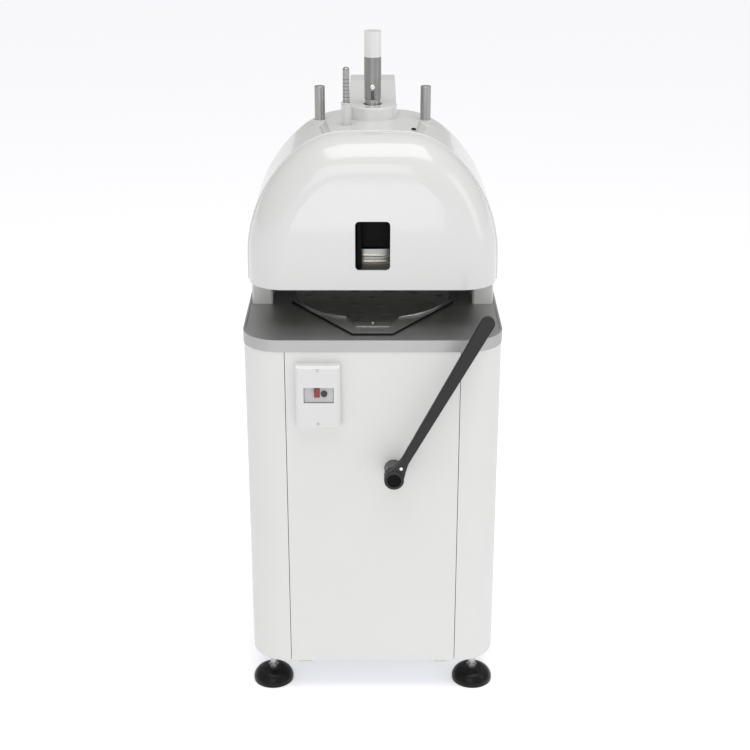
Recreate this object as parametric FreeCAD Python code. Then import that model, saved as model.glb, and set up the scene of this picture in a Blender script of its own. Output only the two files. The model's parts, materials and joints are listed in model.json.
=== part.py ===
"""Floor-standing semi-automatic dough divider and rounder, one solid group per sub-part.

Frame: origin on the floor under the middle of the machine, +X to the operator's right, +Y to the rear, +Z up.
Units are millimetres.
"""
import FreeCAD, Part
import math
import os
from FreeCAD import Vector as V

# ---- driving dimensions ----------------------------------------------------------------------------------
AXIS_Y = 41.0                 # press axis, which runs up through the head
ORBIT = 12.0                  # radius of the table's orbit
DRIVE_Y = AXIS_Y - ORBIT      # drive axis, one orbit radius in front of the press axis

CAB_HALF = 315.0              # cabinet, outside
CAB_FRONT = -298.0
CAB_BACK = 367.0
CAB_BOTTOM = 94.0
CAB_TOP = 956.0
CAB_FRONT_R = 90.0
CAB_BACK_R = 12.0
SHEET = 2.0
SEAM_X = 213.0                # seams beside the front panel
SEAM_GAP = 1.5

TOP_PROUD = 1.5               # worktop edge outside the cabinet
TOP_Z = 983.0                 # worktop surface
LIP_Z = 986.0
DRIVE_HOLE_R = 110.0

FOOT_X = 264.0
FOOT_FRONT_Y = -236.0
FOOT_REAR_Y = 305.0
FOOT_R = 52.5
FOOT_WALL = 12.0
FOOT_H = 38.0
SPINDLE_R = 8.0
BASE_T = 8.0

POST_X = 265.0                # centres of the frame posts
POST_FRONT_Y = -230.0
POST_REAR_Y = FOOT_REAR_Y
POST_W = 40.0
RAIL_H = 40.0
UPPER_SHELF_Z = 690.0
LOWER_SHELF_Z = 440.0
SHELF_T = 12.0

COL_HALF = 308.0              # column and head, outside
COL_INNER = 257.5
COL_FRONT = -22.0
COL_BACK = 361.0
LINER_BACK = 280.0
HEAD_Z = 1083.0               # underside of the head

ARCH_Z = 1141.3               # where the head's sides start to curve
ARCH_R1 = 350.0               # side arc
ARCH_A1 = 50.0                # its end, in degrees from the side's outward normal
ARCH_R2 = 185.0               # shoulder arc
ARCH_A2 = 88.0
HEAD_FRONT = -211.5
HEAD_STEP = -122.0            # where the front cover meets the rear cover
HEAD_REAR = 266.0
FRONT_FILLET = 89.0
REAR_FILLET = 150.0
STEP_H = 3.5                  # rear cover stands this much outside the front cover
SHELL = 4.0
WINDOW_W = 84.0
WINDOW_Z0 = 1133.0
WINDOW_Z1 = 1254.0
WINDOW_R = 10.0

BOSS_R = 60.5
BOSS_TOP = 1485.0
NECK_HALF = 59.0
NECK_TOP = 1503.0
NECK_BACK = 343.0
NECK_WALL = 3.0
NECK_CUT_Z = 1380.0          # below the roof of the head, where the boss and bushes start

RAM_R = 19.0
RAM_SLEEVE_R = 21.0
RAM_TENON_R = 12.0
SLEEVE_Z0 = 1543.0
CAP_Z0 = 1601.0
RAM_TOP = 1663.0
PRESS_PLATE_Z = 1228.0
PRESS_PLATE_T = 15.0
PRESS_R = 200.0
PAD_Z0 = 1090.0
PAD_Z1 = 1104.0
STEM_R = 8.0
STEM_HOLE_R = 9.5

KNIFE_Z0 = 1088.0
KNIFE_PLATE_Z0 = 1158.0
KNIFE_Z1 = 1170.0
KNIFE_T = 3.0
CELL_RINGS = (74.9, 140.0, 205.0)
CELL_COUNTS = (4, 10, 16)
CELL_TURNS = (45.0, 29.7, 0.0)  # first wall of each ring, in degrees from the front
RING_IN = 207.0
RING_OUT = 215.0
RING_Z0 = 1086.0
RING_Z1 = 1175.0
ROD_X = 131.0
ROD_R = 12.75
ROD_TOP = 1529.0

BEAM_Z0 = 1250.0
BEAM_Z1 = 1290.0
SIDE_PLATE_X = 259.0
SIDE_PLATE_T = 14.0
SIDE_PLATE_Y0 = 20.0
SIDE_PLATE_Y1 = 165.0
BEAM_CHAMFER = 20.0
BUSH_R = 17.5
BUSH_TOP = 1446.0
GLAND_NUT_R = 30.0
CYL_R = 45.0
CYL_TOP = 1420.0

SCALE_X = -64.0
SCALE_Y = -52.0
SCALE_R = 8.0
SCALE_TOP = 1592.0
TUBE_R = 13.0
TUBE_TOP = 1507.0

PLATE_R = 200.0
PLATE_Z0 = 988.3
PLATE_Z1 = 993.5
NOSE_ROOT = (66.0, -150.0)    # half width and Y where the plate's nose leaves its rim
NOSE_TIP = (40.0, -208.0)
NOSE_RAMP_Y = -190.0          # in front of this the nose slopes down
NOSE_LOW_Z = 989.7
PLATE_PIN_Y = -193.0
PLATE_PIN_R = 3.0
CARRIER_Z0 = 984.0
CARRIER_Z1 = 988.0
CARRIER_TIP_Y = -257.0
CARRIER_TIP_HALF = 49.0
CARRIER_SIDE_X = 206.0        # where its straight edges meet the round back
CARRIER_SIDE_Y = -17.3
CARRIER_HUB_Z = 964.5
CRANK_PIN_TOP_R = 18.0        # eccentric pin, in the carrier
IDLER_X = 60.0
IDLER_R = 10.0                # idler journal, in the quill
IDLER_PIN_R = 8.0
DIMPLE_R = 60.0               # ball that shapes each dimple
DIMPLE_DEPTH = 1.6

LEVER_X = 52.0
LEVER_Z = 648.0
LEVER_FRONT = -370.0
LEVER_ANGLE = 28.3            # degrees right of vertical, at rest
LEVER_LENGTH = 457.0
HUB_R = 24.3
LEVER_CAP_R = 17.0
SHAFT_R = 14.0
CRANK_R = 26.0
CRANK_PIN_R = 6.0
CRANK_DROP = 28.0             # degrees of the crank below level, at rest

QUILL_R = 35.0
QUILL_BORE = 22.55
QUILL_Z0 = 612.0
QUILL_TOP = 952.0
SHAFT_LOW_R = 15.0            # eccentric shaft, in the drive pulley
DRIVE_R = 98.0                # groove radius of the drive pulley
MOTOR_R = 30.0                # groove radius of the motor pulley
MOTOR_Y = 250.0
MOTOR_SHAFT_R = 9.0
MOTOR_CASE_R = 58.0
GROOVE_Z0 = 474.0
GROOVE_Z1 = 506.0
BELT_GAP = 0.3
BELT_T = 8.0

TANK_TOP = 236.0
PUMP_X = -120.0
PUMP_Y = -60.0

BOX_X = -132.0
BOX_W = 108.0
BOX_Z0 = 766.0
BOX_Z1 = 928.0
BOX_DEPTH = 25.0
CUT_X0 = -166.0
CUT_X1 = -94.0
CUT_Z0 = 833.0
CUT_Z1 = 873.0
BOX_SCREW_IN = 10.5           # the box's screws, from its top and bottom
BOX_SCREW_R = 3.6
STOP_X0 = -141.0
STOP_X1 = -128.0
START_X = -117.0
START_Z = 856.5
START_R = 7.5
KEY_FIT = 0.4                 # gap round each push button
PIPE_X = 170.0                # pressure pipe, where it rises beside the drive
PIPE_Y = 274.0
PIPE_BACK_Y = 330.0           # and where it rises behind the head
PIPE_R = 6.0
PIPE_IN_Z = 1380.0            # where it enters the cylinder
GLAND_X = -200.0
GLAND_Y = 250.0
RUN_FIT = 0.05                # radial clearance of a shaft that turns or slides in its bush
FREE_FIT = 0.4                # radial clearance of a hole that only passes a moving piece


# ---- helpers ---------------------------------------------------------------------------------------------
def box(x0, x1, y0, y1, z0, z1):
    """Box between two corners."""
    return Part.makeBox(x1 - x0, y1 - y0, z1 - z0, V(x0, y0, z0))


def rod(x, y, z0, z1, radius):
    """Upright cylinder."""
    return Part.makeCylinder(radius, z1 - z0, V(x, y, z0))


def rod_y(x, z, y0, y1, radius):
    """Cylinder along Y."""
    return Part.makeCylinder(radius, y1 - y0, V(x, y0, z), V(0, 1, 0))


def tube(x, y, z0, z1, outer, inner):
    """Upright tube."""
    return rod(x, y, z0, z1, outer).cut(rod(x, y, z0 - 1, z1 + 1, inner))


def both(shape):
    """A shape and its mirror image across the YZ plane."""
    return [shape, shape.mirror(V(0, 0, 0), V(1, 0, 0))]


def fused(shapes):
    """One clean solid from overlapping shapes."""
    return shapes[0].fuse(shapes[1:]).removeSplitter()


def cut(shape, tools):
    """A shape with several tools cut away."""
    return shape.cut(tools).removeSplitter()


def upright_edges(shape):
    """Straight edges along Z."""
    return [e for e in shape.Edges
            if len(e.Vertexes) == 2 and abs(e.tangentAt(e.FirstParameter).z) > 0.999]


def polygon(points):
    """Face inside a closed run of points."""
    return Part.Face(Part.makePolygon([V(*p) for p in points] + [V(*points[0])]))


def cabinet_solid(inset, z0, z1):
    """Cabinet plan, moved in by inset, between two heights."""
    half = CAB_HALF - inset
    front = CAB_FRONT + inset
    back = CAB_BACK - inset
    block = box(-half, half, front, back, z0, z1)
    front_edges = [e for e in upright_edges(block) if e.Vertexes[0].Point.y < 0]
    block = block.makeFillet(CAB_FRONT_R - inset, front_edges)
    back_edges = [e for e in upright_edges(block) if e.Vertexes[0].Point.y > back - 1
                  and abs(abs(e.Vertexes[0].Point.x) - half) < 0.1]
    return block.makeFillet(CAB_BACK_R - inset, back_edges)


def arch_face(inset, y):
    """Outline of the head, moved in by inset: upright sides, side arcs, shoulder arcs and a near-flat top."""
    r1 = ARCH_R1 - inset
    r2 = ARCH_R2 - inset
    side = COL_HALF - inset
    c1x = COL_HALF - ARCH_R1
    a1 = math.radians(ARCH_A1)
    a2 = math.radians(ARCH_A2)
    c2x = c1x + (ARCH_R1 - ARCH_R2) * math.cos(a1)
    c2z = ARCH_Z + (ARCH_R1 - ARCH_R2) * math.sin(a1)

    def on_side(angle):
        return V(c1x + r1 * math.cos(angle), y, ARCH_Z + r1 * math.sin(angle))

    def on_shoulder(angle):
        return V(c2x + r2 * math.cos(angle), y, c2z + r2 * math.sin(angle))

    def flip(p):
        return V(-p.x, p.y, p.z)

    s0, s1, s2 = on_side(0.0), on_side(a1 / 2), on_side(a1)
    t1, t2 = on_shoulder((a1 + a2) / 2), on_shoulder(a2)
    crown = V(0, y, t2.z + t2.x * math.tan(math.pi / 2 - a2) / 2)
    foot = V(side, y, HEAD_Z)
    edges = [Part.LineSegment(foot, s0), Part.Arc(s0, s1, s2), Part.Arc(s2, t1, t2),
             Part.Arc(t2, crown, flip(t2)),
             Part.Arc(flip(t2), flip(t1), flip(s2)), Part.Arc(flip(s2), flip(s1), flip(s0)),
             Part.LineSegment(flip(s0), flip(foot)), Part.LineSegment(flip(foot), foot)]
    return Part.Face(Part.Wire([e.toShape() for e in edges]))


def end_edges(shape, y):
    """Edges of an extruded arch that lie at y, without the straight one at its foot."""
    found = []
    for edge in shape.Edges:
        at_end = all(abs(v.Point.y - y) < 0.01 for v in edge.Vertexes)
        at_foot = all(abs(v.Point.z - HEAD_Z) < 0.01 for v in edge.Vertexes)
        if at_end and not at_foot:
            found.append(edge)
    return found


def head_block(inset, front, rear, front_radius, rear_radius):
    """Solid loaf of the head. A radius of 0 leaves that end square."""
    loaf = arch_face(inset, front).extrude(V(0, rear - front, 0))
    if front_radius:
        loaf = loaf.makeFillet(front_radius, end_edges(loaf, front))
    if rear_radius:
        loaf = loaf.makeFillet(rear_radius, end_edges(loaf, rear))
    return loaf


def hex_nut(x, y, z0, z1, flats, bore):
    """Hexagonal nut about an upright axis."""
    radius = flats / math.sqrt(3)
    turns = [math.radians(60 * k) for k in range(6)]
    points = [(x + radius * math.cos(a), y + radius * math.sin(a), z0) for a in turns]
    return polygon(points).extrude(V(0, 0, z1 - z0)).cut(rod(x, y, z0 - 1, z1 + 1, bore))


def belt_face(r1, y1, r2, y2, z):
    """Face inside an open belt line round two pulleys on the X = 0 plane."""
    gap = y2 - y1
    lean = math.asin((r1 - r2) / gap)
    c, s = math.cos(lean), math.sin(lean)
    a = V(r1 * c, y1 + r1 * s, z)
    b = V(r2 * c, y2 + r2 * s, z)
    edges = [Part.Arc(V(-a.x, a.y, z), V(0, y1 - r1, z), a), Part.LineSegment(a, b),
             Part.Arc(b, V(0, y2 + r2, z), V(-b.x, b.y, z)),
             Part.LineSegment(V(-b.x, b.y, z), V(-a.x, a.y, z))]
    return Part.Face(Part.Wire([e.toShape() for e in edges]))


def polar(radius, degrees_from_front, centre_y=AXIS_Y):
    """Plan position on a circle about the press axis, with angles counted from the front towards +X."""
    angle = math.radians(degrees_from_front)
    return radius * math.sin(angle), centre_y - radius * math.cos(angle)


def cell_centres():
    """Middle of each of the dough cells, ring by ring: radius and angle from the front."""
    cells = []
    inner = 0.0
    for ring, count, turn in zip(CELL_RINGS, CELL_COUNTS, CELL_TURNS):
        middle = (inner + ring) / 2 if inner else ring * 0.62
        step = 360.0 / count
        cells += [(inner, ring, middle, turn + step * (k + 0.5), step) for k in range(count)]
        inner = ring
    return cells


def sector(r0, r1, angle0, angle1, z0, z1):
    """Ring sector about the press axis."""
    mid = (angle0 + angle1) / 2

    def at(radius, angle):
        x, y = polar(radius, angle)
        return V(x, y, z0)

    outer = Part.Arc(at(r1, angle0), at(r1, mid), at(r1, angle1))
    if r0 < 1:
        tip = V(0, AXIS_Y, z0)
        edges = [outer, Part.LineSegment(at(r1, angle1), tip), Part.LineSegment(tip, at(r1, angle0))]
    else:
        edges = [outer, Part.LineSegment(at(r1, angle1), at(r0, angle1)),
                 Part.Arc(at(r0, angle1), at(r0, mid), at(r0, angle0)),
                 Part.LineSegment(at(r0, angle0), at(r1, angle0))]
    return Part.Face(Part.Wire([e.toShape() for e in edges])).extrude(V(0, 0, z1 - z0))


def foot_places():
    """Plan positions of the four feet."""
    return [(sx * FOOT_X, y) for y in (FOOT_FRONT_Y, FOOT_REAR_Y) for sx in (-1, 1)]


# ---- cabinet ----------------------------------------------------------------------------------------------
def make_feet(parts):
    """Pads, threaded spindles and lock nuts."""
    pads = []
    spindles = []
    nuts = []
    for x, y in foot_places():
        outline = [Part.LineSegment(V(0, 0, 0), V(FOOT_R - 2, 0, 0)),
                   Part.LineSegment(V(FOOT_R - 2, 0, 0), V(FOOT_R, 0, 2)),
                   Part.LineSegment(V(FOOT_R, 0, 2), V(FOOT_R, 0, FOOT_WALL)),
                   Part.Arc(V(FOOT_R, 0, FOOT_WALL), V(FOOT_R * 0.78, 0, FOOT_H - 8), V(18, 0, FOOT_H)),
                   Part.LineSegment(V(18, 0, FOOT_H), V(0, 0, FOOT_H)),
                   Part.LineSegment(V(0, 0, FOOT_H), V(0, 0, 0))]
        profile = Part.Face(Part.Wire([e.toShape() for e in outline]))
        dome = profile.revolve(V(0, 0, 0), V(0, 0, 1), 360)
        dome.translate(V(x, y, 0))
        pads.append(dome.cut(rod(x, y, FOOT_H - 18, FOOT_H + 1, SPINDLE_R + RUN_FIT)))
        spindles.append(rod(x, y, FOOT_H - 18, CAB_BOTTOM + BASE_T + 14, SPINDLE_R))
        nuts.append(hex_nut(x, y, CAB_BOTTOM - 13, CAB_BOTTOM, 26, SPINDLE_R + RUN_FIT))
        nuts.append(hex_nut(x, y, FOOT_H, FOOT_H + 9, 24, SPINDLE_R + RUN_FIT))
    parts["foot_pads"] = pads
    parts["foot_spindles"] = spindles
    parts["foot_lock_nuts"] = nuts


def make_frame(parts):
    """Base plate, posts, rails and the two shelves that carry the drive."""
    base_z1 = CAB_BOTTOM + BASE_T
    base = cabinet_solid(SHEET + 3, CAB_BOTTOM, base_z1)
    holes = [rod(x, y, 0, base_z1 + 1, SPINDLE_R + 0.1) for x, y in foot_places()]
    holes.append(rod(GLAND_X, GLAND_Y, 0, base_z1 + 1, 10.1))
    parts["base_plate"] = [base.cut(holes)]

    posts = []
    half = POST_W / 2
    for y in (POST_FRONT_Y, POST_REAR_Y):
        for sx in (-1, 1):
            x = sx * POST_X
            bore = half - 3
            outer = box(x - half, x + half, y - half, y + half, base_z1, CAB_TOP)
            posts.append(outer.cut(box(x - bore, x + bore, y - bore, y + bore, base_z1, CAB_TOP)))
    # The spindles pass the base plate inside the hollow posts.
    parts["frame_posts"] = posts

    inner_x = POST_X - half
    side_y0 = POST_FRONT_Y + half
    side_y1 = POST_REAR_Y - half
    rails = []
    for top in (CAB_TOP, UPPER_SHELF_Z, LOWER_SHELF_Z):
        rails += both(box(254, 276, side_y0, side_y1, top - RAIL_H, top))
    for y in (POST_FRONT_Y, POST_REAR_Y):
        rails.append(box(-inner_x, inner_x, y - 10, y + 10, CAB_TOP - RAIL_H, CAB_TOP))
    parts["frame_rails"] = rails

    shelf = (-278, 278, side_y0 + 1, side_y1 - 1)
    quill_hole = rod(0, DRIVE_Y, 0, CAB_TOP, QUILL_R + 1.5)
    pipe_hole = rod(PIPE_X, PIPE_Y, 0, CAB_TOP, PIPE_R + 2)
    upper = box(*shelf, UPPER_SHELF_Z, UPPER_SHELF_Z + SHELF_T)
    lower = box(*shelf, LOWER_SHELF_Z, LOWER_SHELF_Z + SHELF_T)
    hub_hole = rod(0, DRIVE_Y, 0, CAB_TOP, 25 + RUN_FIT)
    motor_hole = rod(0, MOTOR_Y, 0, CAB_TOP, 12.5)
    parts["drive_shelves"] = [upper.cut([quill_hole, pipe_hole]),
                              lower.cut([hub_hole, motor_hole, pipe_hole])]


def make_cabinet(parts):
    """Wrap-around side panels, front panel, rear panel and the front panel's hooks."""
    skin = cabinet_solid(0, CAB_BOTTOM, CAB_TOP).cut(cabinet_solid(SHEET, CAB_BOTTOM - 1, CAB_TOP + 1))
    big = 2 * CAB_HALF
    front_cutter = box(-SEAM_X, SEAM_X, -big, 0, 0, CAB_TOP + 1)
    rear_x = CAB_HALF - 15
    rear_cutter = box(-rear_x, rear_x, 0, big, 0, CAB_TOP + 1)
    sides = skin.cut([front_cutter, rear_cutter])
    left, right = sorted(sides.Solids, key=lambda s: s.CenterOfMass.x)
    parts["left_side_panel"] = [left]
    parts["right_side_panel"] = [right]

    half = SEAM_X - SEAM_GAP
    front = box(-half, half, CAB_FRONT, CAB_FRONT + SHEET, CAB_BOTTOM, CAB_TOP)
    lever_hole = rod_y(LEVER_X, LEVER_Z, CAB_FRONT - 5, CAB_FRONT + 5, HUB_R - 0.8)
    wire_hole = box(CUT_X0 - 4, CUT_X1 + 4, CAB_FRONT - 5, CAB_FRONT + 5, CUT_Z0 - 6, CUT_Z1 + 6)
    screw_holes = [rod_y(BOX_X, z, CAB_FRONT - 5, CAB_FRONT + 5, 2.6) for z in box_screw_heights()]
    parts["front_panel"] = [front.cut([lever_hole, wire_hole] + screw_holes)]

    half = rear_x - SEAM_GAP
    rear = box(-half, half, CAB_BACK - SHEET, CAB_BACK, CAB_BOTTOM, CAB_TOP)
    slots = [box(x - 55, x + 55, CAB_BACK - 5, CAB_BACK + 5, z, z + 8)
             for z in range(240, 420, 22) for x in (-90, 90)]
    parts["rear_panel"] = [rear.cut(slots + [rod_y(x, z, CAB_BACK - 5, CAB_BACK + 5, 3.1)
                                             for x, z in rear_screw_places()])]

    hook_y = CAB_FRONT + SHEET
    hook_z = CAB_BOTTOM - 6
    hook = fused([box(160, 195, hook_y, hook_y + 2, hook_z, CAB_BOTTOM + 14),
                  box(160, 195, hook_y, CAB_FRONT + 14, hook_z, hook_z + 2)])
    parts["panel_hooks"] = both(hook)


def box_screw_heights():
    """Z of the switch box's screws."""
    return [BOX_Z0 + BOX_SCREW_IN, BOX_Z1 - BOX_SCREW_IN]


def rear_screw_places():
    """X and Z of the rear panel's screws."""
    return [(x, z) for x in (-280, 280) for z in (130, 525, 920)]


def make_worktop(parts):
    """Stainless top: a pan with a raised lip, and openings for the drive, the column and the pipe."""
    block = cabinet_solid(-TOP_PROUD, CAB_TOP, LIP_Z)
    recess = cabinet_solid(5 - TOP_PROUD, TOP_Z, LIP_Z + 1)
    under = cabinet_solid(SHEET - TOP_PROUD, CAB_TOP - 1, TOP_Z - SHEET)
    tools = [recess, under, rod(0, DRIVE_Y, CAB_TOP, LIP_Z + 1, DRIVE_HOLE_R)]
    tools.append(rod(0, PIPE_BACK_Y, CAB_TOP, LIP_Z, 10))
    tools += both(box(SIDE_PLATE_X - 1, SIDE_PLATE_X + SIDE_PLATE_T + 1,
                      SIDE_PLATE_Y0 - 2, SIDE_PLATE_Y1 + 2, CAB_TOP, LIP_Z))
    parts["worktop"] = [cut(block, tools)]


# ---- column and head --------------------------------------------------------------------------------------
def make_column(parts):
    """Two hollow cheeks, the back cover with its deck, and the dark liner of the throat."""
    def cheek():
        outer = box(COL_INNER, COL_HALF, COL_FRONT, COL_BACK, TOP_Z, HEAD_Z)
        front = [e for e in upright_edges(outer) if e.Vertexes[0].Point.y < 0]
        outer = outer.makeFillet(4, front)
        inner = box(COL_INNER + SHEET - 1, COL_HALF - SHEET, COL_FRONT + SHEET, COL_BACK - SHEET,
                    TOP_Z - 1, HEAD_Z + 1)
        return outer.cut(inner)

    right = cheek()
    parts["column_right_cheek"] = [right]
    parts["column_left_cheek"] = [right.mirror(V(0, 0, 0), V(1, 0, 0))]

    back = box(-COL_INNER + 1, COL_INNER - 1, COL_BACK - SHEET, COL_BACK, TOP_Z, HEAD_Z)
    deck = box(-COL_HALF, COL_HALF, HEAD_REAR - REAR_FILLET, COL_BACK, HEAD_Z, HEAD_Z + SHEET)
    deck = deck.cut(head_block(-0.2, HEAD_STEP, HEAD_REAR + 0.2, 0, REAR_FILLET))
    hole = box(-NECK_HALF + 4, NECK_HALF - 4, HEAD_REAR + 2, NECK_BACK - 4, HEAD_Z - 5, HEAD_Z + 5)
    parts["column_back_cover"] = [fused([back, deck]).cut(hole)]

    t = 1.5
    left_wall = box(-COL_INNER, -COL_INNER + t, COL_FRONT + 3, LINER_BACK, TOP_Z, HEAD_Z)
    right_wall = box(COL_INNER - t, COL_INNER, COL_FRONT + 3, LINER_BACK, TOP_Z, HEAD_Z)
    rear_wall = box(-COL_INNER, COL_INNER, LINER_BACK - t, LINER_BACK, TOP_Z, HEAD_Z)
    parts["throat_liner"] = [fused([left_wall, right_wall, rear_wall])]


def make_head_frame(parts):
    """Side plates up from the cabinet rails and the beam that carries the cylinder and the bushes."""
    edge = SIDE_PLATE_X + SIDE_PLATE_T
    plate = box(SIDE_PLATE_X, edge, SIDE_PLATE_Y0, SIDE_PLATE_Y1, CAB_TOP, BEAM_Z0)
    low = BEAM_Z1 - BEAM_CHAMFER
    inner = edge - BEAM_CHAMFER
    outline = polygon([(-edge, 1, BEAM_Z0), (edge, 1, BEAM_Z0), (edge, 1, low), (inner, 1, BEAM_Z1),
                       (-inner, 1, BEAM_Z1), (-edge, 1, low)])
    beam = outline.extrude(V(0, 2 * (AXIS_Y - 1), 0))
    holes = [rod(0, AXIS_Y, 0, RAM_TOP, CYL_R)]
    holes += [rod(x, AXIS_Y, 0, RAM_TOP, BUSH_R + 0.5) for x in (-ROD_X, ROD_X)]
    parts["head_frame"] = both(plate) + [beam.cut(holes)]

    body = fused([rod(0, AXIS_Y, 1253, CYL_TOP, CYL_R), rod(0, AXIS_Y, BEAM_Z1, BEAM_Z1 + 12, 60)])
    bore = [rod(0, AXIS_Y, 1268, 1400, 32), rod(0, AXIS_Y, 1200, 1300, RAM_R + FREE_FIT),
            rod(0, AXIS_Y, 1390, CYL_TOP + 1, 24), rod_y(0, PIPE_IN_Z, AXIS_Y + 20, AXIS_Y + 80, 4)]
    parts["press_cylinder"] = [cut(body, bore)]
    gland = fused([rod(0, AXIS_Y, 1400, CYL_TOP, 24), rod(0, AXIS_Y, CYL_TOP, BUSH_TOP, GLAND_NUT_R)])
    parts["ram_bush"] = [gland.cut(rod(0, AXIS_Y, 1390, 1450, RAM_R + RUN_FIT))]
    bushes = [tube(x, AXIS_Y, BEAM_Z0, BUSH_TOP, BUSH_R, ROD_R + RUN_FIT) for x in (-ROD_X, ROD_X)]
    parts["guide_bushes"] = bushes


def neck_solid(inset):
    """Boss on the press axis and the spine that runs back over the head and down behind it."""
    top = NECK_TOP - inset
    back = NECK_BACK - inset
    low = BOSS_TOP - inset
    half = NECK_HALF - inset
    foot = HEAD_Z + SHEET
    side = polygon([(-half, AXIS_Y, NECK_CUT_Z), (-half, AXIS_Y, low), (-half, 95, low),
                    (-half, 258, top), (-half, back, top), (-half, back, foot), (-half, 180, foot),
                    (-half, 180, NECK_CUT_Z)])
    spine = side.extrude(V(2 * half, 0, 0))
    boss = rod(0, AXIS_Y, NECK_CUT_Z, low, BOSS_R - inset)
    if not inset:
        rim = [e for e in boss.Edges if e.BoundBox.ZMin > low - 0.1 and e.BoundBox.ZMax < low + 0.1]
        boss = boss.makeFillet(3, rim)
        ridge = [e for e in spine.Edges if e.BoundBox.ZMin > low - 1 and abs(e.BoundBox.XLength) < 0.1]
        ridge += [e for e in spine.Edges if e.BoundBox.YMin > back - 0.1 and e.BoundBox.ZMin > top - 1]
        spine = spine.makeFillet(4, ridge)
    return boss.fuse(spine)


def make_head(parts):
    """Front and rear covers of the head, and the boss and neck cover on top."""
    front_out = head_block(STEP_H, HEAD_FRONT, HEAD_STEP + 30, FRONT_FILLET, 0)
    front_in = head_block(STEP_H + SHELL, HEAD_FRONT + SHELL, HEAD_STEP + 40, FRONT_FILLET - SHELL, 0)
    behind = box(-400, 400, HEAD_STEP, HEAD_STEP + 100, HEAD_Z - 10, 1500)
    floor_cut = box(-400, 400, HEAD_FRONT - 10, HEAD_STEP + 50, HEAD_Z - 10, HEAD_Z)
    below = front_in.copy()
    below.translate(V(0, 0, -20))
    front = front_out.cut([front_in, below, behind, floor_cut])
    window = box(-WINDOW_W / 2, WINDOW_W / 2, HEAD_FRONT - 5, HEAD_FRONT + 10, WINDOW_Z0, WINDOW_Z1)
    corners = [e for e in window.Edges if abs(e.BoundBox.YLength - 15) < 0.1]
    parts["head_front_cover"] = [front.cut(window.makeFillet(WINDOW_R, corners))]

    rear_out = head_block(0, HEAD_STEP, HEAD_REAR, 0, REAR_FILLET)
    rim = end_edges(rear_out, HEAD_STEP)
    rear_soft = rear_out.makeFillet(3, rim)
    rear_in = head_block(SHELL, HEAD_STEP - 10, HEAD_REAR - SHELL, 0, REAR_FILLET - SHELL)
    below = rear_in.copy()
    below.translate(V(0, 0, -20))
    holes = [rod(0, AXIS_Y, NECK_CUT_Z, 1500, GLAND_NUT_R + 1),
             rod(SCALE_X, SCALE_Y, NECK_CUT_Z, 1500, TUBE_R),
             box(-40, 40, 225, HEAD_REAR + 5, 1330, 1420)]
    holes += [rod(x, AXIS_Y, NECK_CUT_Z, 1500, BUSH_R + 0.1) for x in (-ROD_X, ROD_X)]
    parts["head_rear_cover"] = [rear_soft.cut([rear_in, below] + holes)]

    ram_hole = rod(0, AXIS_Y, NECK_CUT_Z, 1500, RAM_SLEEVE_R + 2)
    shell = neck_solid(0).cut([neck_solid(NECK_WALL), rear_out, ram_hole])
    under = neck_solid(NECK_WALL)
    under.translate(V(0, 0, -30))
    shell = shell.cut([under.common(box(-100, 100, -50, 400, 1000, HEAD_Z + 20))])
    parts["neck_cover"] = [max(shell.Solids, key=lambda s: s.Volume)]


# ---- press, knives and scale ------------------------------------------------------------------------------
def make_press(parts):
    """Ram with its sleeve and cap, press plate, and one pad on a stem for each dough cell."""
    ram = fused([rod(0, AXIS_Y, PRESS_PLATE_Z + PRESS_PLATE_T, SLEEVE_Z0, RAM_R),
                 rod(0, AXIS_Y, SLEEVE_Z0 - 1, RAM_TOP - 20, RAM_TENON_R),
                 rod(0, AXIS_Y, 1330, 1350, 31.6)])
    flat = box(-6, 6, AXIS_Y - RAM_R - 1, AXIS_Y - RAM_R + 2.5, 1490, 1522)
    parts["ram_post"] = [cut(ram, [flat])]
    parts["ram_sleeve"] = [tube(0, AXIS_Y, SLEEVE_Z0, CAP_Z0, RAM_SLEEVE_R, RAM_TENON_R)]
    cap = rod(0, AXIS_Y, CAP_Z0, RAM_TOP, RAM_SLEEVE_R)
    cap = cap.makeFillet(1, [e for e in cap.Edges if e.BoundBox.ZMin > RAM_TOP - 1])
    parts["ram_cap"] = [cap.cut(rod(0, AXIS_Y, CAP_Z0 - 1, RAM_TOP - 20, RAM_TENON_R))]

    plate = rod(0, AXIS_Y, PRESS_PLATE_Z, PRESS_PLATE_Z + PRESS_PLATE_T, PRESS_R)
    rod_holes = [rod(x, AXIS_Y, 1200, 1300, ROD_R + 1.5) for x in (-ROD_X, ROD_X)]
    parts["press_plate"] = [plate.cut(rod_holes)]

    pads = []
    gap = KNIFE_T / 2 + 1.0
    for inner, outer, middle, angle, step in cell_centres():
        r0 = inner + gap if inner else gap * 1.6
        r1 = outer - gap
        near = max(r0, 12.0)
        trim0 = math.degrees(gap / near)
        trim1 = math.degrees(gap / r1)
        trim = (trim0 + trim1) / 2
        pad = sector(near, r1, angle - step / 2 + trim, angle + step / 2 - trim, PAD_Z0, PAD_Z1)
        x, y = polar(middle, angle)
        walls = [wall_box(angle + side * step / 2, inner, outer + 5, KNIFE_T + 2.0) for side in (-1, 1)]
        pads.append(fused([pad.cut(walls), rod(x, y, PAD_Z1 - 1, PRESS_PLATE_Z, STEM_R)]))
    parts["press_pads"] = pads


def wall_box(angle, r0, r1, thickness):
    """Radial wall about the press axis at an angle from the front."""
    wall = box(-thickness / 2, thickness / 2, -r1, -r0, PAD_Z0 - 20, KNIFE_Z1)
    wall.rotate(V(0, 0, 0), V(0, 0, 1), angle)
    wall.translate(V(0, AXIS_Y, 0))
    return wall


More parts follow.
